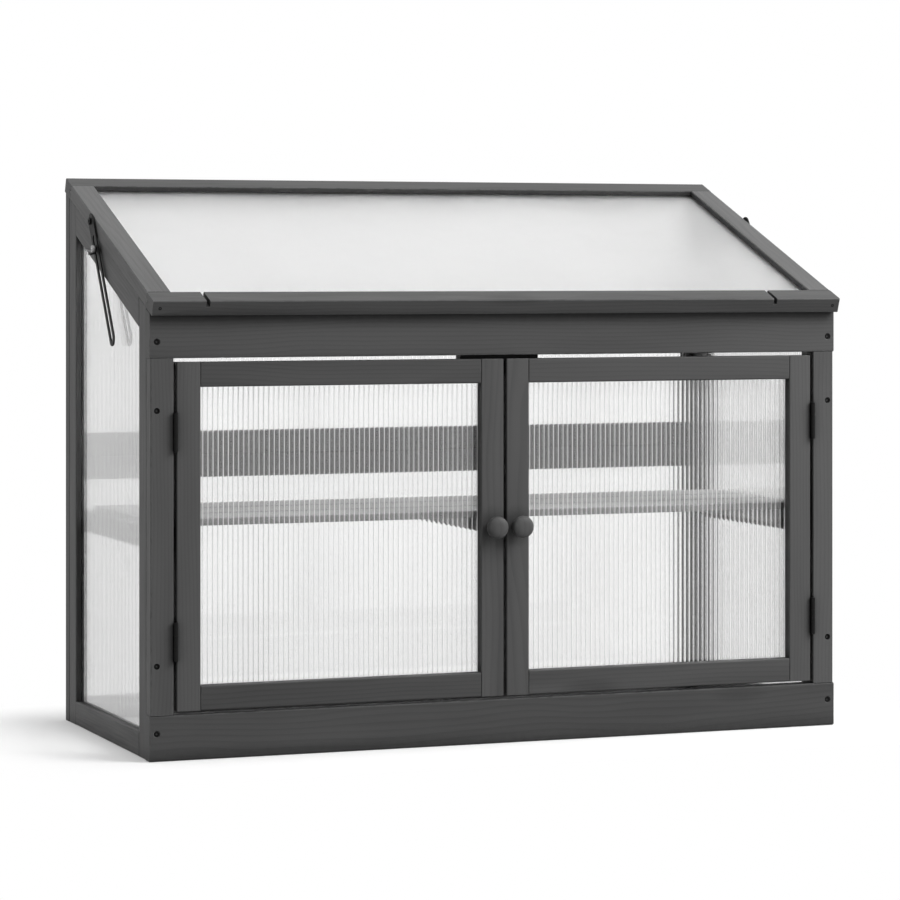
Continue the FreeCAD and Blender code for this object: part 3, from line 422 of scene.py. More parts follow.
def steel_material(name, levels, roughness, metallic):
    """Painted or plated steel, mottled between two grey levels, its edges rubbed to a third."""
    material, tree, shader = new_material(name)
    dark, light, rub_and_highlight_tone = (grey(level) for level in levels)
    place = object_place(tree)
    skin = use_group(tree, "fine_mottle", Vector=place, Scale=900.0)
    rub_and_highlight = use_group(
        tree, "edge_rub_and_highlight", Vector=place, Radius=0.15 * MM, Patch_Scale=260.0, Bare_Share=0.45)
    colour = mix_colour(tree, ramp(tree, skin["Cloud"], 0.3, 0.7, 0.0, 1.0), dark, light)
    rub_and_highlight_share = math_node(tree, "MULTIPLY", rub_and_highlight["Bare"], STEEL_RUB_MOST)
    colour = mix_colour(tree, rub_and_highlight_share, colour, rub_and_highlight_tone)
    link(tree, colour, shader.inputs["Base Color"])
    rough = ramp(tree, skin["Speck"], 0.3, 0.7, roughness, roughness + 0.14)
    link(tree, rough, shader.inputs["Roughness"])
    shader.inputs["Metallic"].default_value = metallic
    if metallic == 0.0:
        shader.inputs["Specular IOR Level"].default_value = BLACK_SPECULAR
    link(tree, bump(tree, skin["Speck"], 0.15, 0.05 * MM), shader.inputs["Normal"])
    return material


def make_materials():
    make_grain_group()
    make_rub_and_highlight_group()
    make_recess_shade_group()
    make_mottle_group()
    finishes = {direction: painted_timber("painted_timber", direction) for direction in GRAIN_TURNS}
    for direction in "xz":
        finishes["back_" + direction] = painted_timber("back_timber_painted_shade", direction)
    for direction in "xy":
        finishes["shelf_" + direction] = painted_timber("shelf_timber", direction)
    finishes["skin"] = sheet_material("twin_wall_skin", clarity=1.0, roughness=0.02)
    finishes["rib"] = sheet_material("twin_wall_rib", clarity=0.62, roughness=0.3)
    finishes["web"] = sheet_material("twin_wall_web", clarity=0.8, roughness=0.2, unseen=0.88)
    finishes["lid_inner"] = sheet_material(
        "twin_wall_lid_inner", clarity=0.9, roughness=0.2, unseen=0.8)
    finishes["lid_skin"] = sheet_material(
        "twin_wall_lid_skin", clarity=0.97, roughness=0.3, tone=249)
    finishes["black_steel"] = steel_material("black_steel", (5, 9, 26), 0.5, metallic=0.0)
    finishes["zinc"] = steel_material("zinc_steel", (176, 205, 225), 0.24, metallic=1.0)
    finishes["nut"] = steel_material("blackened_nut", (96, 130, 215), 0.22, metallic=1.0)
    return finishes


# Mesh helpers
SAME_POINT = 1e-7


def new_piece(name, mesh, materials, body, smooth):
    """A piece of its own, put where its vertices say, that moves with a body."""
    bmesh.ops.remove_doubles(mesh, verts=mesh.verts, dist=SAME_POINT)
    bmesh.ops.recalc_face_normals(mesh, faces=mesh.faces)
    data = bpy.data.meshes.new(name)
    mesh.to_mesh(data)
    mesh.free()
    for material in materials:
        data.materials.append(material)
    piece = bpy.data.objects.new(name, data)
    bpy.context.scene.collection.objects.link(piece)
    data.shade_smooth()
    data.set_sharp_from_angle(angle=math.radians(smooth))
    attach(piece, body)
    return piece


def band(mesh, near, far):
    """Faces between two rings of vertices, of which one may be a single point."""
    steps = max(len(near), len(far))
    for step in range(steps):
        after = (step + 1) % steps
        corners = [near[step % len(near)], near[after % len(near)],
                   far[after % len(far)], far[step % len(far)]]
        mesh.faces.new(list(dict.fromkeys(corners)))


def turned(mesh, outline, steps, place):
    """Turn an outline of (distance along the axis, radius) about Z and move it to its place."""
    rings = []
    for along, radius in outline:
        if radius < SAME_POINT:
            rings.append([mesh.verts.new(place @ Vector((0, 0, along)))])
            continue
        ring = []
        for step in range(steps):
            angle = 2 * math.pi * step / steps
            spot = Vector((radius * math.cos(angle), radius * math.sin(angle), along))
            ring.append(mesh.verts.new(place @ spot))
        rings.append(ring)
    for near, far in zip(rings, rings[1:]):
        band(mesh, near, far)
    for ring in (rings[0], rings[-1]):
        if len(ring) > 1:
            mesh.faces.new(ring)


def facing(point, direction, spin=0.0):
    """Matrix that stands a piece modelled along Z at a point, looking in a direction."""
    turn = Vector(direction).to_track_quat("Z", "Y").to_matrix().to_4x4()
    return Matrix.Translation(point) @ turn @ Matrix.Rotation(spin, 4, "Z")


def middle_of(node_name):
    foot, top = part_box(node_name)
    return (foot + top) / 2


def cross_outline(arm, half_width):
    """Corners of a cross in the XY plane, in order round it."""
    corners = []
    for quarter in range(4):
        turn = Matrix.Rotation(quarter * math.pi / 2, 4, "Z")
        for x, y in ((arm, -half_width), (arm, half_width), (half_width, half_width)):
            corners.append(turn @ Vector((x, y, 0)))
    return corners


# Twin-wall sheets with their real flutes: two skins, and ribs between them. A skin is a little
# thicker towards the ribs, so that what lies far behind it is spread sideways. The numbers are
# places in a sheet's list of finishes: the skins, the skins where a rib meets them, the walls
# between two cells, and the skins' faces inside a cell.
SKIN = 0
RIB = 1
WEB = 2
INNER = 3
SKIN_SPARE = 0.09 * MM  # thicker at a rib than half way between two
CELL_STEPS = 4


def fluted_sheet(corner, across, along, through, width, reach):
    """Box with a row of cells right through it, as long as reach gives at each place across."""
    mesh = bmesh.new()
    count = round(width / FLUTE_PITCH)
    pitch = width / count
    cuts = [(0.0, SKIN_SPARE)]
    for cell in range(count):
        start = cell * pitch + FLUTE_WALL / 2
        for step in range(CELL_STEPS + 1):
            share = step / CELL_STEPS
            spare = SKIN_SPARE * (2 * share - 1) ** 2
            cuts.append((start + (pitch - FLUTE_WALL) * share, spare))
    cuts.append((width, SKIN_SPARE))
    grid = []
    for cut, spare in cuts:
        skin = FLUTE_SKIN + spare
        column = []
        for level in (0.0, skin, SHEET_THICKNESS - skin, SHEET_THICKNESS):
            base = corner + across * cut + through * level
            ends = (base, base + along * reach(cut))
            column.append([mesh.verts.new(end) for end in ends])
        grid.append(column)

    def wall(column, row, finish):
        near, far = column[row], column[row + 1]
        face = mesh.faces.new([near[0], far[0], far[1], near[1]])
        face.material_index = finish

    for place, (one, two) in enumerate(zip(grid, grid[1:])):
        solid = place % (CELL_STEPS + 1) == 0
        rows = {0: RIB, 3: RIB} if solid else {0: SKIN, 1: INNER, 2: INNER, 3: SKIN}
        for row in range(3):
            if solid or row != 1:
                corners = (one[row], two[row], two[row + 1], one[row + 1])
                for end in (0, 1):
                    mesh.faces.new([corner[end] for corner in corners])
        for row, finish in rows.items():
            face = mesh.faces.new([one[row][0], two[row][0], two[row][1], one[row][1]])
            face.material_index = finish
        if solid:
            for column in (one, two):
                if column is not grid[0] and column is not grid[-1]:
                    wall(column, 1, WEB)
    for column in (grid[0], grid[-1]):
        for row in range(3):
            wall(column, row, SKIN)
    return mesh


def glaze(part, mesh, finishes, body):
    """Put a fluted sheet in the place of the part's plain one."""
    piece = new_piece(f"{part}_glazing", mesh, finishes, body, smooth=25)
    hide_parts(f"{part}_sheet")


def side_sheets(finishes):
    for side in SIDES:
        foot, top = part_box(f"{side}_side_sheet")

        def slanted(cut, foot=foot, top=top):
            return top.z - foot.z - (top.y - foot.y - cut) * math.tan(TILT)

        mesh = fluted_sheet(foot, AXIS_Y, AXIS_Z, AXIS_X, top.y - foot.y, slanted)
        glaze(f"{side}_side", mesh, finishes, "case")


def upright_sheet(part, finishes, body):
    foot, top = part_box(f"{part}_sheet")
    height = top.z - foot.z
    mesh = fluted_sheet(foot, AXIS_X, AXIS_Z, AXIS_Y, top.x - foot.x, lambda cut: height)
    glaze(part, mesh, finishes, body)


def lid_glazing(finishes):
    foot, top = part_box("lid_sheet")
    slope, square = lid_directions()
    corner = Vector((foot.x, foot.y + SHEET_THICKNESS * math.sin(TILT), foot.z))
    length = (top.z - foot.z - SHEET_THICKNESS * math.cos(TILT)) / math.sin(TILT)
    mesh = fluted_sheet(corner, AXIS_X, slope, square, top.x - foot.x, lambda cut: length)
    glaze("lid", mesh, finishes, "lid")


def sheets(finishes):
    skin, rib, web = finishes["skin"], finishes["rib"], finishes["web"]
    side_sheets([skin, web, web, skin])
    for level in ("lower", "upper"):
        upright_sheet(f"back_{level}", [skin, rib, web, skin], "case")
    for side in SIDES:
        upright_sheet(f"{side}_door", [skin, rib, skin, skin], f"{side}_door")
    lid_skin = finishes["lid_skin"]
    lid_glazing([lid_skin, lid_skin, web, finishes["lid_inner"]])


# Knobs: a waisted neck and a full round head, turned
KNOB_HEAD_HALF = 7.6 * MM  # half of the head's length along the axis
KNOB_NECK_FOOT = 8.6 * MM
KNOB_NECK_WAIST = 7.0 * MM
KNOB_CHAMFER = 0.6 * MM
KNOB_CHAMFER_LENGTH = 0.5 * MM
KNOB_FULLNESS = 0.72  # 1 gives a true ellipse, less a squarer head
KNOB_MEETS = math.radians(-62)  # where the neck runs into the head's outline
KNOB_NECK_STEPS = 12
KNOB_HEAD_STEPS = 24
KNOB_TURN_STEPS = 64


def knob_outline(reach, head_radius):
    def head(angle):
        lift = math.copysign(abs(math.sin(angle)) ** KNOB_FULLNESS, math.sin(angle))
        radius = head_radius * max(math.cos(angle), 0.0) ** KNOB_FULLNESS
        return reach - KNOB_HEAD_HALF + KNOB_HEAD_HALF * lift, radius

    outline = [(0.0, 0.0), (0.0, KNOB_NECK_FOOT - KNOB_CHAMFER)]
    outline.append((KNOB_CHAMFER_LENGTH, KNOB_NECK_FOOT))
    head_from, head_start = head(KNOB_MEETS)
    for step in range(1, KNOB_NECK_STEPS):
        share = step / KNOB_NECK_STEPS
        swell = KNOB_NECK_FOOT + (head_start - KNOB_NECK_FOOT) * share
        waist = (min(KNOB_NECK_FOOT, head_start) - KNOB_NECK_WAIST) * math.sin(math.pi * share)
        along = KNOB_CHAMFER_LENGTH + (head_from - KNOB_CHAMFER_LENGTH) * share
        outline.append((along, swell - waist))
    for step in range(KNOB_HEAD_STEPS):
        outline.append(head(KNOB_MEETS + (math.pi / 2 - KNOB_MEETS) * step / KNOB_HEAD_STEPS))
    outline.append((reach, 0.0))
    return outline


def knobs(finish):
    for side in SIDES:
        name = f"{side}_door_knob"
        foot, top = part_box(name)
        centre = middle_of(name)
        outline = knob_outline(top.y - foot.y, (top.x - foot.x) / 2)
        mesh = bmesh.new()
        back = Vector((centre.x, top.y, centre.z))
        turned(mesh, outline, KNOB_TURN_STEPS, facing(back, -AXIS_Y))
        piece = new_piece(f"{side}_knob", mesh, [finish], f"{side}_door", smooth=35)
        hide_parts(name)


# Screws with crossed recesses. Shares are of the head's radius.
RECESS_ARM = 0.52
RECESS_HALF_WIDTH = 0.13
RECESS_NARROWING = 0.72  # the recess's floor against its lip
RECESS_DEPTH = 0.32
SUNK_SHARE = 0.8  # the recess goes no deeper than the rise and this share of the sunk part
HEAD_RINGS = (0.66, 0.85, 0.96)
HEAD_ARCHING = 0.85
RIM_HEIGHT = 0.6  # of the dome's height at the rim
LIP_PLACE = 0.6  # the recess's lip is as high as the dome at this share of the first ring
ARC_STEPS = 6
SPIN_EACH = 2.4  # radians by which the recess of one head is turned against the last
HEADS = {  # mm: radius, rise above the surface, depth below it
    "front": (3.8, 0.5, 0.05),
    "leaf": (2.7, 0.2, 0.3),
    "lid_frame": (2.3, 0.1, 0.6),
    "panel": (3.6, 0.3, 0.4),
    "wood": (3.4, 0.3, 0.4),
    "knob": (4.2, 1.4, 0.3),
}


def screw_head(mesh, place, radius, rise, sunk):
    half = RECESS_HALF_WIDTH * radius
    inner = HEAD_RINGS[0] * radius
    edge_angle = math.atan2(half, inner)
    span = math.pi / 2 - 2 * edge_angle
    angles = []
    for quarter in range(4):
        start = quarter * math.pi / 2
        angles += [start - edge_angle, start, start + edge_angle]
        angles += [start + edge_angle + span * step / ARC_STEPS for step in range(1, ARC_STEPS)]
    per_quarter = len(angles) // 4

    def ring(distance, height):
        made = []
        for angle in angles:
            spot = Vector((distance * math.cos(angle), distance * math.sin(angle), height))
            made.append(mesh.verts.new(place @ spot))
        return made

    def dome(distance):
        return rise * math.sqrt(max(0.0, 1 - (distance / radius) ** 2 * HEAD_ARCHING))

    def cross(scale, height):
        lift = Vector((0, 0, height))
        corners = cross_outline(RECESS_ARM * radius * scale, half * scale)
        return [mesh.verts.new(place @ (corner + lift)) for corner in corners]

    rings = [ring(share * radius, dome(share * radius)) for share in HEAD_RINGS]
    rings += [ring(radius, dome(radius) * RIM_HEIGHT), ring(radius, -sunk)]
    for near, far in zip(rings, rings[1:]):
        band(mesh, near, far)
    mesh.faces.new(rings[-1])
    lip = cross(1.0, dome(inner * LIP_PLACE))
    depth = min(RECESS_DEPTH * radius, rise + sunk * SUNK_SHARE)
    floor = cross(RECESS_NARROWING, dome(inner) - depth)
    band(mesh, lip, floor)
    mesh.faces.new(floor)
    top = rings[0]
    for quarter in range(4):
        first = quarter * per_quarter
        corner = quarter * 3
        mesh.faces.new([lip[corner], top[first], top[first + 1], top[first + 2], lip[corner + 1]])
        arc = [top[(first + 2 + step) % len(angles)] for step in range(ARC_STEPS + 1)]
        mesh.faces.new([lip[corner + 1], *arc, lip[(corner + 3) % len(lip)], lip[corner + 2]])


def screws(name, body, finish, spots, head):
    """One piece that holds several screw heads; a spot is a point and the way a head looks."""
    radius, rise, sunk = (size * MM for size in HEADS[head])
    mesh = bmesh.new()
    for count, (point, direction) in enumerate(spots):
        screw_head(mesh, facing(point, direction, spin=SPIN_EACH * count), radius, rise, sunk)
    return new_piece(name, mesh, [finish], body, smooth=30)


# Screws in the front, sunk in pockets, and the recesses in the heads of the stays' screws
FRONT_SCREW_INSET = 10.0 * MM
FRONT_SCREW_LEVELS = (36.0 * MM, 124.4 * MM, 458.0 * MM, 548.0 * MM)  # plank, post, post, plank
POCKET_RADIUS = 4.1 * MM
POCKET_DEPTH = 2.2 * MM
POCKET_STEPS = 32
POCKETED = ("front_top_plank", "front_bottom_plank", "left_post", "right_post")
PAST_SURFACE = 1.0 * MM  # by which a cutter stands out of the surface
BOLT_HEAD_RISE = 3.0 * MM
DRIVER_ARM = 2.6 * MM
DRIVER_HALF_WIDTH = 0.7 * MM
DRIVER_DEPTH = 1.1 * MM
DRIVER_SPIN = 0.4  # radians
RECESSED = ("stay_pivot_screws", "stay_bolts")


def front_screw_spots(depth=0.0):
    spots = []
    for sign in SIDES.values():
        for level in FRONT_SCREW_LEVELS:
            point = Vector((sign * (CASE_HALF - FRONT_SCREW_INSET), FRONT_Y + depth, level))
            spots.append((point, -AXIS_Y))
    return spots


def hidden_cutter(name, mesh):
    """An object that only cuts others, through their modifiers."""
    bmesh.ops.recalc_face_normals(mesh, faces=mesh.faces)
    data = bpy.data.meshes.new(name)
    mesh.to_mesh(data)
    mesh.free()
    cutter = bpy.data.objects.new(name, data)
    bpy.context.scene.collection.objects.link(cutter)
    cutter.hide_render = True
    cutter.hide_viewport = True
    return cutter


def screw_pockets():
    """Cutter for the pockets in the front in which the screws sit a little below the surface."""
    mesh = bmesh.new()
    outline = [(-POCKET_DEPTH, POCKET_RADIUS), (PAST_SURFACE, POCKET_RADIUS)]
    for point, direction in front_screw_spots():
        turned(mesh, outline, POCKET_STEPS, facing(point, direction))
    return hidden_cutter("screw_pockets", mesh)


def driver_recesses():
    """Cutter for the crossed recesses in the heads of the stays' screws and bolts."""
    mesh = bmesh.new()
    bolt = middle_of("stay_bolts")
    bolt.x = low("right_side_top_rail").x - BOLT_HEAD_RISE
    pivot = middle_of("stay_pivot_screws")
    pivot.x = high("stay_pivot_screws").x
    outline = cross_outline(DRIVER_ARM, DRIVER_HALF_WIDTH)
    for sign in SIDES.values():
        for head, way in ((bolt, -sign), (pivot, sign)):
            point = Vector((sign * head.x, head.y, head.z))
            place = facing(point, AXIS_X * way, spin=DRIVER_SPIN)
            layers = []
            for height in (-DRIVER_DEPTH, PAST_SURFACE):
                lift = Vector((0, 0, height))
                layer = [mesh.verts.new(place @ (corner + lift)) for corner in outline]
                mesh.faces.new(layer)
                layers.append(layer)
            band(mesh, *layers)
    return hidden_cutter("driver_recesses", mesh)


def front_screws(finish):
    spots = front_screw_spots(depth=POCKET_DEPTH)
    screws("front_screw_heads", "case", finish, spots, "front")


# Screws in the hinges' leaves, seen when a door or the lid stands open
HINGE_LENGTH = 51.0 * MM
LEAF_THICKNESS = 1.5 * MM
BARREL_RADIUS = 3.0 * MM
BARREL_PLAY = 0.4 * MM
DOOR_LEAF_SCREWS = ((0.17, 6.0 * MM), (0.5, 9.0 * MM), (0.83, 6.0 * MM))  # share of length, inset
LID_LEAF_SCREWS = ((0.17, 12.0 * MM), (0.5, 9.0 * MM), (0.83, 12.0 * MM))


def door_hinge_screws(finish):
    case_spots = []
    for side, sign in SIDES.items():
        door = f"{side}_door"
        foot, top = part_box(f"{door}_hinge_leaves")
        post_face = high(f"{side}_post").x if sign < 0 else low(f"{side}_post").x
        stile = f"{door}_hinge_stile"
        stile_face = low(stile).x if sign < 0 else high(stile).x
        door_spots = []
        for start in (foot.z, top.z - HINGE_LENGTH):
            for share, inset in DOOR_LEAF_SCREWS:
                level = start + share * HINGE_LENGTH
                depth = top.y - inset
                leaf = sign * LEAF_THICKNESS
                case_spots.append((Vector((post_face - leaf, depth, level)), AXIS_X * -sign))
                door_spots.append((Vector((stile_face + leaf, depth, level)), AXIS_X * sign))
        screws(f"{door}_hinge_screws", door, finish, door_spots, "leaf")
    screws("case_hinge_screws", "case", finish, case_spots, "leaf")


def lid_hinge_screws(finish):
    slope, square = lid_directions()
    foot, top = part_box("lid_hinge_leaves")
    barrel = high("case_hinge_leaves")
    axis = Vector((0, barrel.y - BARREL_RADIUS, barrel.z - BARREL_RADIUS))
    offset = BARREL_RADIUS + BARREL_PLAY
    lid_face = slope * (LEAF_THICKNESS - offset * math.cos(TILT))
    case_face = AXIS_Y * (LEAF_THICKNESS - offset)
    lid_spots = []
    case_spots = []
    for start in (foot.x, top.x - HINGE_LENGTH):
        for share, inset in LID_LEAF_SCREWS:
            along = axis + AXIS_X * (start + share * HINGE_LENGTH)
            reach = offset + inset
            lid_spots.append((along + lid_face + square * reach, slope))
            case_spots.append((along + case_face - AXIS_Z * reach, AXIS_Y))
    screws("lid_hinge_screws", "lid", finish, lid_spots, "leaf")
    screws("back_hinge_screws", "case", finish, case_spots, "leaf")


# Screws that hold the frames together
CHAMFER_LOSS = 0.32 * MM  # a chamfered rail stands out this much beyond what its box tells
BACK_SCREW_INSET = 12.0 * MM
BACK_SCREW_LEVELS = (80 * MM, 296 * MM, 456 * MM, 672 * MM)
STOP_SCREW_SHARES = (-0.6, 0.6)  # of the block's half length
CLEAT_SCREW_SHARES = (0.1, 0.5, 0.9)


def lid_rail_face(rail, way):
    """Middle of the outer edge of the lid's front (-1) or rear (1) rail, turned in its box."""
    foot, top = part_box(rail)
    slope, square = lid_directions()
    deep, tall = top.y - foot.y, top.z - foot.z
    spread = math.cos(TILT) ** 2 - math.sin(TILT) ** 2
    width = (deep * math.cos(TILT) - tall * math.sin(TILT)) / spread
    thickness = (tall * math.cos(TILT) - deep * math.sin(TILT)) / spread
    lowest = Vector((0, foot.y + thickness * math.sin(TILT), foot.z))
    away = width + CHAMFER_LOSS if way > 0 else -CHAMFER_LOSS
    return lowest + square * thickness / 2 + slope * away


def lid_frame_screws(finish):
    """Through the lid's front and rear rails into its side rails."""
    slope = lid_directions()[0]
    spots = []
    for rail, way in (("lid_front_rail", -1), ("lid_rear_rail", 1)):
        middle = lid_rail_face(rail, way)
        for sign in SIDES.values():
            across = AXIS_X * (sign * (CASE_HALF - FRONT_SCREW_INSET))
            spots.append((middle + across, slope * way))
    screws("lid_frame_screws", "lid", finish, spots, "lid_frame")


def case_screws(finish):
    """Hold the back's panels, the block above the doors and the shelf's cleats."""
    back = high("back_left_stiles").y
    spots = []
    for sign in SIDES.values():
        for level in BACK_SCREW_LEVELS:
            spots.append((Vector((sign * (CASE_HALF - BACK_SCREW_INSET), back, level)), AXIS_Y))
    screws("back_panel_screws", "case", finish, spots, "panel")
    half, back = high("door_stop").x, high("door_stop").y
    level = middle_of("door_stop").z
    spots = [(Vector((share * half, back, level)), AXIS_Y) for share in STOP_SCREW_SHARES]
    screws("door_stop_screws", "case", finish, spots, "wood")
    spots = []
    for side, sign in SIDES.items():
        foot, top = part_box(f"{side}_shelf_cleat")
        inner = top.x if sign < 0 else foot.x
        for share in CLEAT_SCREW_SHARES:
            place = Vector((inner, foot.y + share * (top.y - foot.y), (foot.z + top.z) / 2))
            spots.append((place, AXIS_X * -sign))
    screws("shelf_cleat_screws", "case", finish, spots, "wood")


def knob_screws(finish):
    for side in SIDES:
        door = f"{side}_door"
        place = middle_of(f"{door}_knob")
        place.y = high(f"{door}_meeting_stile").y
        screws(f"{side}_knob_screw", door, finish, [(place, AXIS_Y)], "knob")


# Nails of the shelf, two through every slat into each batten below
NAIL_HEAD = ((-0.4, 1.7), (0.1, 1.7), (0.25, 1.45), (0.3, 0.8))  # mm along it, radius
NAIL_STEPS = 14
SLAT_COUNT = 3
SLAT_WIDTH = 88.0 * MM
NAIL_FROM_SLAT_MIDDLE = 25.0 * MM
NAIL_FROM_BATTEN_EDGE = 10.0 * MM


def shelf_nails(finish):
    foot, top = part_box("shelf_slats")
    mesh = bmesh.new()
    step = (top.y - foot.y - SLAT_WIDTH) / (SLAT_COUNT - 1)
    reach = high("shelf_battens").x - NAIL_FROM_BATTEN_EDGE
    outline = [(along * MM, radius * MM) for along, radius in NAIL_HEAD]
    for row in range(SLAT_COUNT):
        middle = foot.y + SLAT_WIDTH / 2 + row * step
        for across in (-reach, 0.0, reach):
            for way in (-1, 1):
                point = Vector((across, middle + way * NAIL_FROM_SLAT_MIDDLE, top.z))
                turned(mesh, outline, NAIL_STEPS, facing(point, AXIS_Z))
    new_piece("shelf_nails", mesh, [finish], "shelf", smooth=40)


# Studs of the stays with a turned thread, which runs out at both ends
THREAD_PITCH = 1.0 * MM
THREAD_DEPTH = 0.5 * MM
THREAD_STEPS = 24
THREAD_ROWS = 4  # rings of vertices to a pitch
TAPER_LEAD = 0.2 * MM  # by which a taper has already run at the very end
TIP_TAPER = 1.2 * MM
FOOT_TAPER = 0.8 * MM
END_SHARE = 0.8  # of the full radius, to which a taper would run


def stud_mesh(radius, length, place):
    mesh = bmesh.new()
    rows = round(length / THREAD_PITCH * THREAD_ROWS)
    rings = []
    for row in range(rows + 1):
        along = length * row / rows
        from_foot = length - along + TAPER_LEAD
        full = min(1.0, (along + TAPER_LEAD) / TIP_TAPER, from_foot / FOOT_TAPER)
        ring = []
        for step in range(THREAD_STEPS):
            phase = (along / THREAD_PITCH + step / THREAD_STEPS) % 1.0
            groove = THREAD_DEPTH * (1 - abs(2 * phase - 1))
            size = (radius - groove) * (END_SHARE + (1 - END_SHARE) * full)
            angle = 2 * math.pi * step / THREAD_STEPS
            spot = Vector((size * math.cos(angle), size * math.sin(angle), -along))
            ring.append(mesh.verts.new(place @ spot))
        rings.append(ring)
    for near, far in zip(rings, rings[1:]):
        band(mesh, near, far)
    mesh.faces.new(rings[0])
    mesh.faces.new(rings[-1])
    return mesh


def studs(finish):
    for side, sign in SIDES.items():
        name = f"{side}_stay_stud"
        foot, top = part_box(name)
        tip = middle_of(name)
        tip.x = foot.x if sign < 0 else top.x
        mesh = stud_mesh((top.y - foot.y) / 2, top.x - foot.x, facing(tip, AXIS_X * sign))
        piece = new_piece(
            f"{side}_threaded_stud", mesh, [finish], f"{side}_stud", smooth=50)
        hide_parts(name)


# Finish of every node carried over from the frame, and how far its arrises are rounded, in mm,
# both by the words in its name
GRAIN_OF = {"post": "z", "stile": "z", "side_bottom_rail": "y", "side_top_rail": "slope",
            "cleat": "y", "lid_left": "slope", "lid_right": "slope"}
ARRIS = {"front_top_plank": 1.0, "front_bottom_plank": 1.3, "post": 1.2, "lid_": 1.0,
         "side_front_stile": 1.8, "back_": 2.0}
WOOD_ARRIS = 0.8
METAL_ARRIS = 0.25
NUT_ARRIS = 0.3
FINISH_AND_ARRIS = {  # of all but the painted boards of the case, the doors and the lid
    "sheet": ("skin", 0.0),
    "shelf_slats": ("shelf_x", WOOD_ARRIS),
    "shelf_battens": ("shelf_y", WOOD_ARRIS),
    "wing_nut": ("nut", NUT_ARRIS),
    "hinge_leaves": ("black_steel", 0.0),
    "stay_bar": ("black_steel", METAL_ARRIS),
    "pivot_screws": ("black_steel", METAL_ARRIS),
    "bolts": ("zinc", METAL_ARRIS),
    "stud": ("zinc", 0.0),
}
JOIN_DISTANCE = 0.002 * MM
ARRIS_SEGMENTS = 2
ARRIS_ANGLE = math.radians(30)


def finish_of(name):
    """Name of a node's finish, and the size of its arrises in mm."""
    for word, choice in FINISH_AND_ARRIS.items():
        if word in name:
            return choice
    direction = next((way for word, way in GRAIN_OF.items() if word in name), "x")
    edge = next((size for word, size in ARRIS.items() if word in name), WOOD_ARRIS)
    return ("back_" if name.startswith("back_") else "") + direction, edge


def dress_cad_nodes(finishes, pockets, recesses):
    for name, thing in NODES.items():
        finish, edge = finish_of(name)
        if edge:
            joined = thing.modifiers.new("joined", "WELD")
            joined.merge_threshold = JOIN_DISTANCE
            if name in POCKETED + RECESSED:
                cut = thing.modifiers.new("cut", "BOOLEAN")
                cut.operation = "DIFFERENCE"
                cut.solver = "EXACT"
                cut.object = pockets if name in POCKETED else recesses
            arris = thing.modifiers.new("arris", "BEVEL")
            arris.width = edge * MM
            arris.segments = ARRIS_SEGMENTS
            arris.limit_method = "ANGLE"
            arris.angle_limit = ARRIS_ANGLE
            arris.harden_normals = True
        thing.data.materials.clear()
        thing.data.materials.append(finishes[finish])


# Floor, background and lamps
FLOOR_SIZE = 40
FLOOR_DROP = 0.3 * MM
FLOOR_LIT = (0.3, 0.3, 0.3, 1)  # colour that lights the object from below
FLOOR_SEEN = (0.88, 0.88, 0.88, 1)
SHADOW_REACH = 0.2  # metres round the case in which the floor keeps more of its shadow
GLOW_BELOW = 0.2
WORLD_LIT = 0.52
WORLD_SEEN = 1.0
LAMP_AIM = Vector((0, 0, 0.35))
LAMPS = {  # place, size and power
    "key_lamp": ((2.3, -1.9, 2.4), 1.8, 135.0),
    "top_lamp": ((0.4, 0.1, 4.0), 3.0, 45.0),
    "fill_lamp": ((-3.6, -0.6, 2.4), 3.0, 14.0),
}


def seen_straight(tree):
    """1 for rays that only look, from the camera, a reflection or through a sheet."""
    ways = node(tree, "ShaderNodeLightPath")
    mirrored, through = ways.outputs["Is Glossy Ray"], ways.outputs["Is Transmission Ray"]
    bent = math_node(tree, "MAXIMUM", mirrored, through)
    return math_node(tree, "MAXIMUM", ways.outputs["Is Camera Ray"], bent)


def distance_from_case(tree):
    """How far a point of the floor lies outside the case's footprint."""
    span = node(tree, "ShaderNodeVectorMath", operation="ABSOLUTE")
    link(tree, object_place(tree), span.inputs[0])
    past = node(tree, "ShaderNodeVectorMath", operation="SUBTRACT")
    link(tree, span.outputs["Vector"], past.inputs[0])
    past.inputs[1].default_value = (CASE_HALF, -FRONT_Y, 0)
    outside = node(tree, "ShaderNodeVectorMath", operation="MAXIMUM")
    link(tree, past.outputs["Vector"], outside.inputs[0])
    away = node(tree, "ShaderNodeVectorMath", operation="LENGTH")
    link(tree, outside.outputs["Vector"], away.inputs[0])
    return away.outputs["Value"]


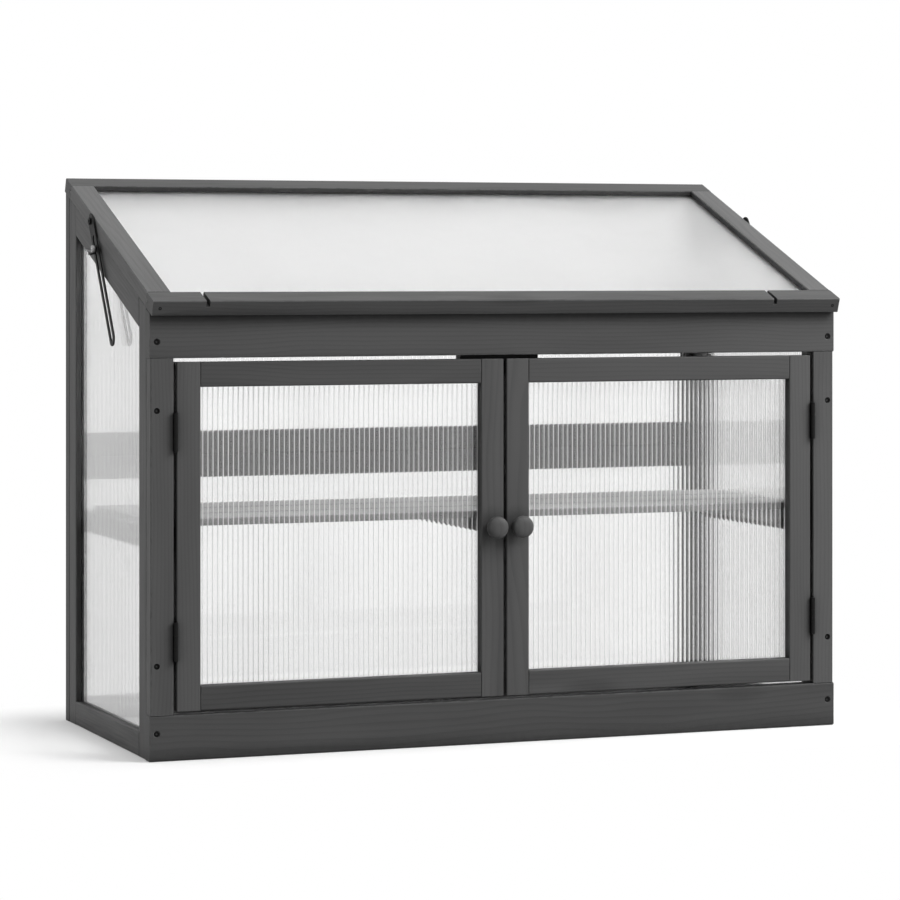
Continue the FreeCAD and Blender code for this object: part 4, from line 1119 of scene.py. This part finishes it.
def pale_floor():
    bpy.ops.mesh.primitive_plane_add(size=FLOOR_SIZE, location=(0, 0, -FLOOR_DROP))
    floor = bpy.context.object
    floor.name = "floor"
    material, tree, shader = new_material("pale_floor")
    seen = seen_straight(tree)
    link(tree, mix_colour(tree, seen, FLOOR_LIT, FLOOR_SEEN), shader.inputs["Base Color"])
    shader.inputs["Roughness"].default_value = 1.0
    shader.inputs["Specular IOR Level"].default_value = 0.0
    glow = node(tree, "ShaderNodeEmission")
    glow.inputs["Strength"].default_value = 1.0
    faded = ramp(tree, distance_from_case(tree), 0.0, SHADOW_REACH, GLOW_BELOW, 1.0)
    share = math_node(tree, "MULTIPLY", seen, faded)
    blended(tree, share, shader.outputs["BSDF"], glow.outputs["Emission"])
    floor.data.materials.append(material)


def studio_world():
    world = bpy.data.worlds.new("studio")
    world.use_nodes = True
    bpy.context.scene.world = world
    tree = world.node_tree
    tree.nodes.clear()
    output = node(tree, "ShaderNodeOutputWorld")
    background = node(tree, "ShaderNodeBackground")
    background.inputs["Color"].default_value = (1, 1, 1, 1)
    strength = ramp(tree, seen_straight(tree), 0.0, 1.0, WORLD_LIT, WORLD_SEEN, smooth=False)
    link(tree, strength, background.inputs["Strength"])
    link(tree, background.outputs["Background"], output.inputs["Surface"])


def lamps():
    for name, (place, size, power) in LAMPS.items():
        data = bpy.data.lights.new(name, "AREA")
        data.size = size
        data.energy = power
        lamp = bpy.data.objects.new(name, data)
        lamp.location = place
        lamp.rotation_euler = (Vector(place) - LAMP_AIM).to_track_quat("Z", "Y").to_euler()
        bpy.context.scene.collection.objects.link(lamp)


camera()
FINISHES = make_materials()
BLACK_STEEL = FINISHES["black_steel"]
ZINC = FINISHES["zinc"]
front_screws(BLACK_STEEL)
dress_cad_nodes(FINISHES, screw_pockets(), driver_recesses())
sheets(FINISHES)
knobs(FINISHES["z"])
door_hinge_screws(BLACK_STEEL)
lid_frame_screws(BLACK_STEEL)
lid_hinge_screws(BLACK_STEEL)
case_screws(BLACK_STEEL)
knob_screws(ZINC)
shelf_nails(ZINC)
studs(ZINC)
pale_floor()
studio_world()
lamps()
bpy.context.scene.view_settings.view_transform = "Standard"
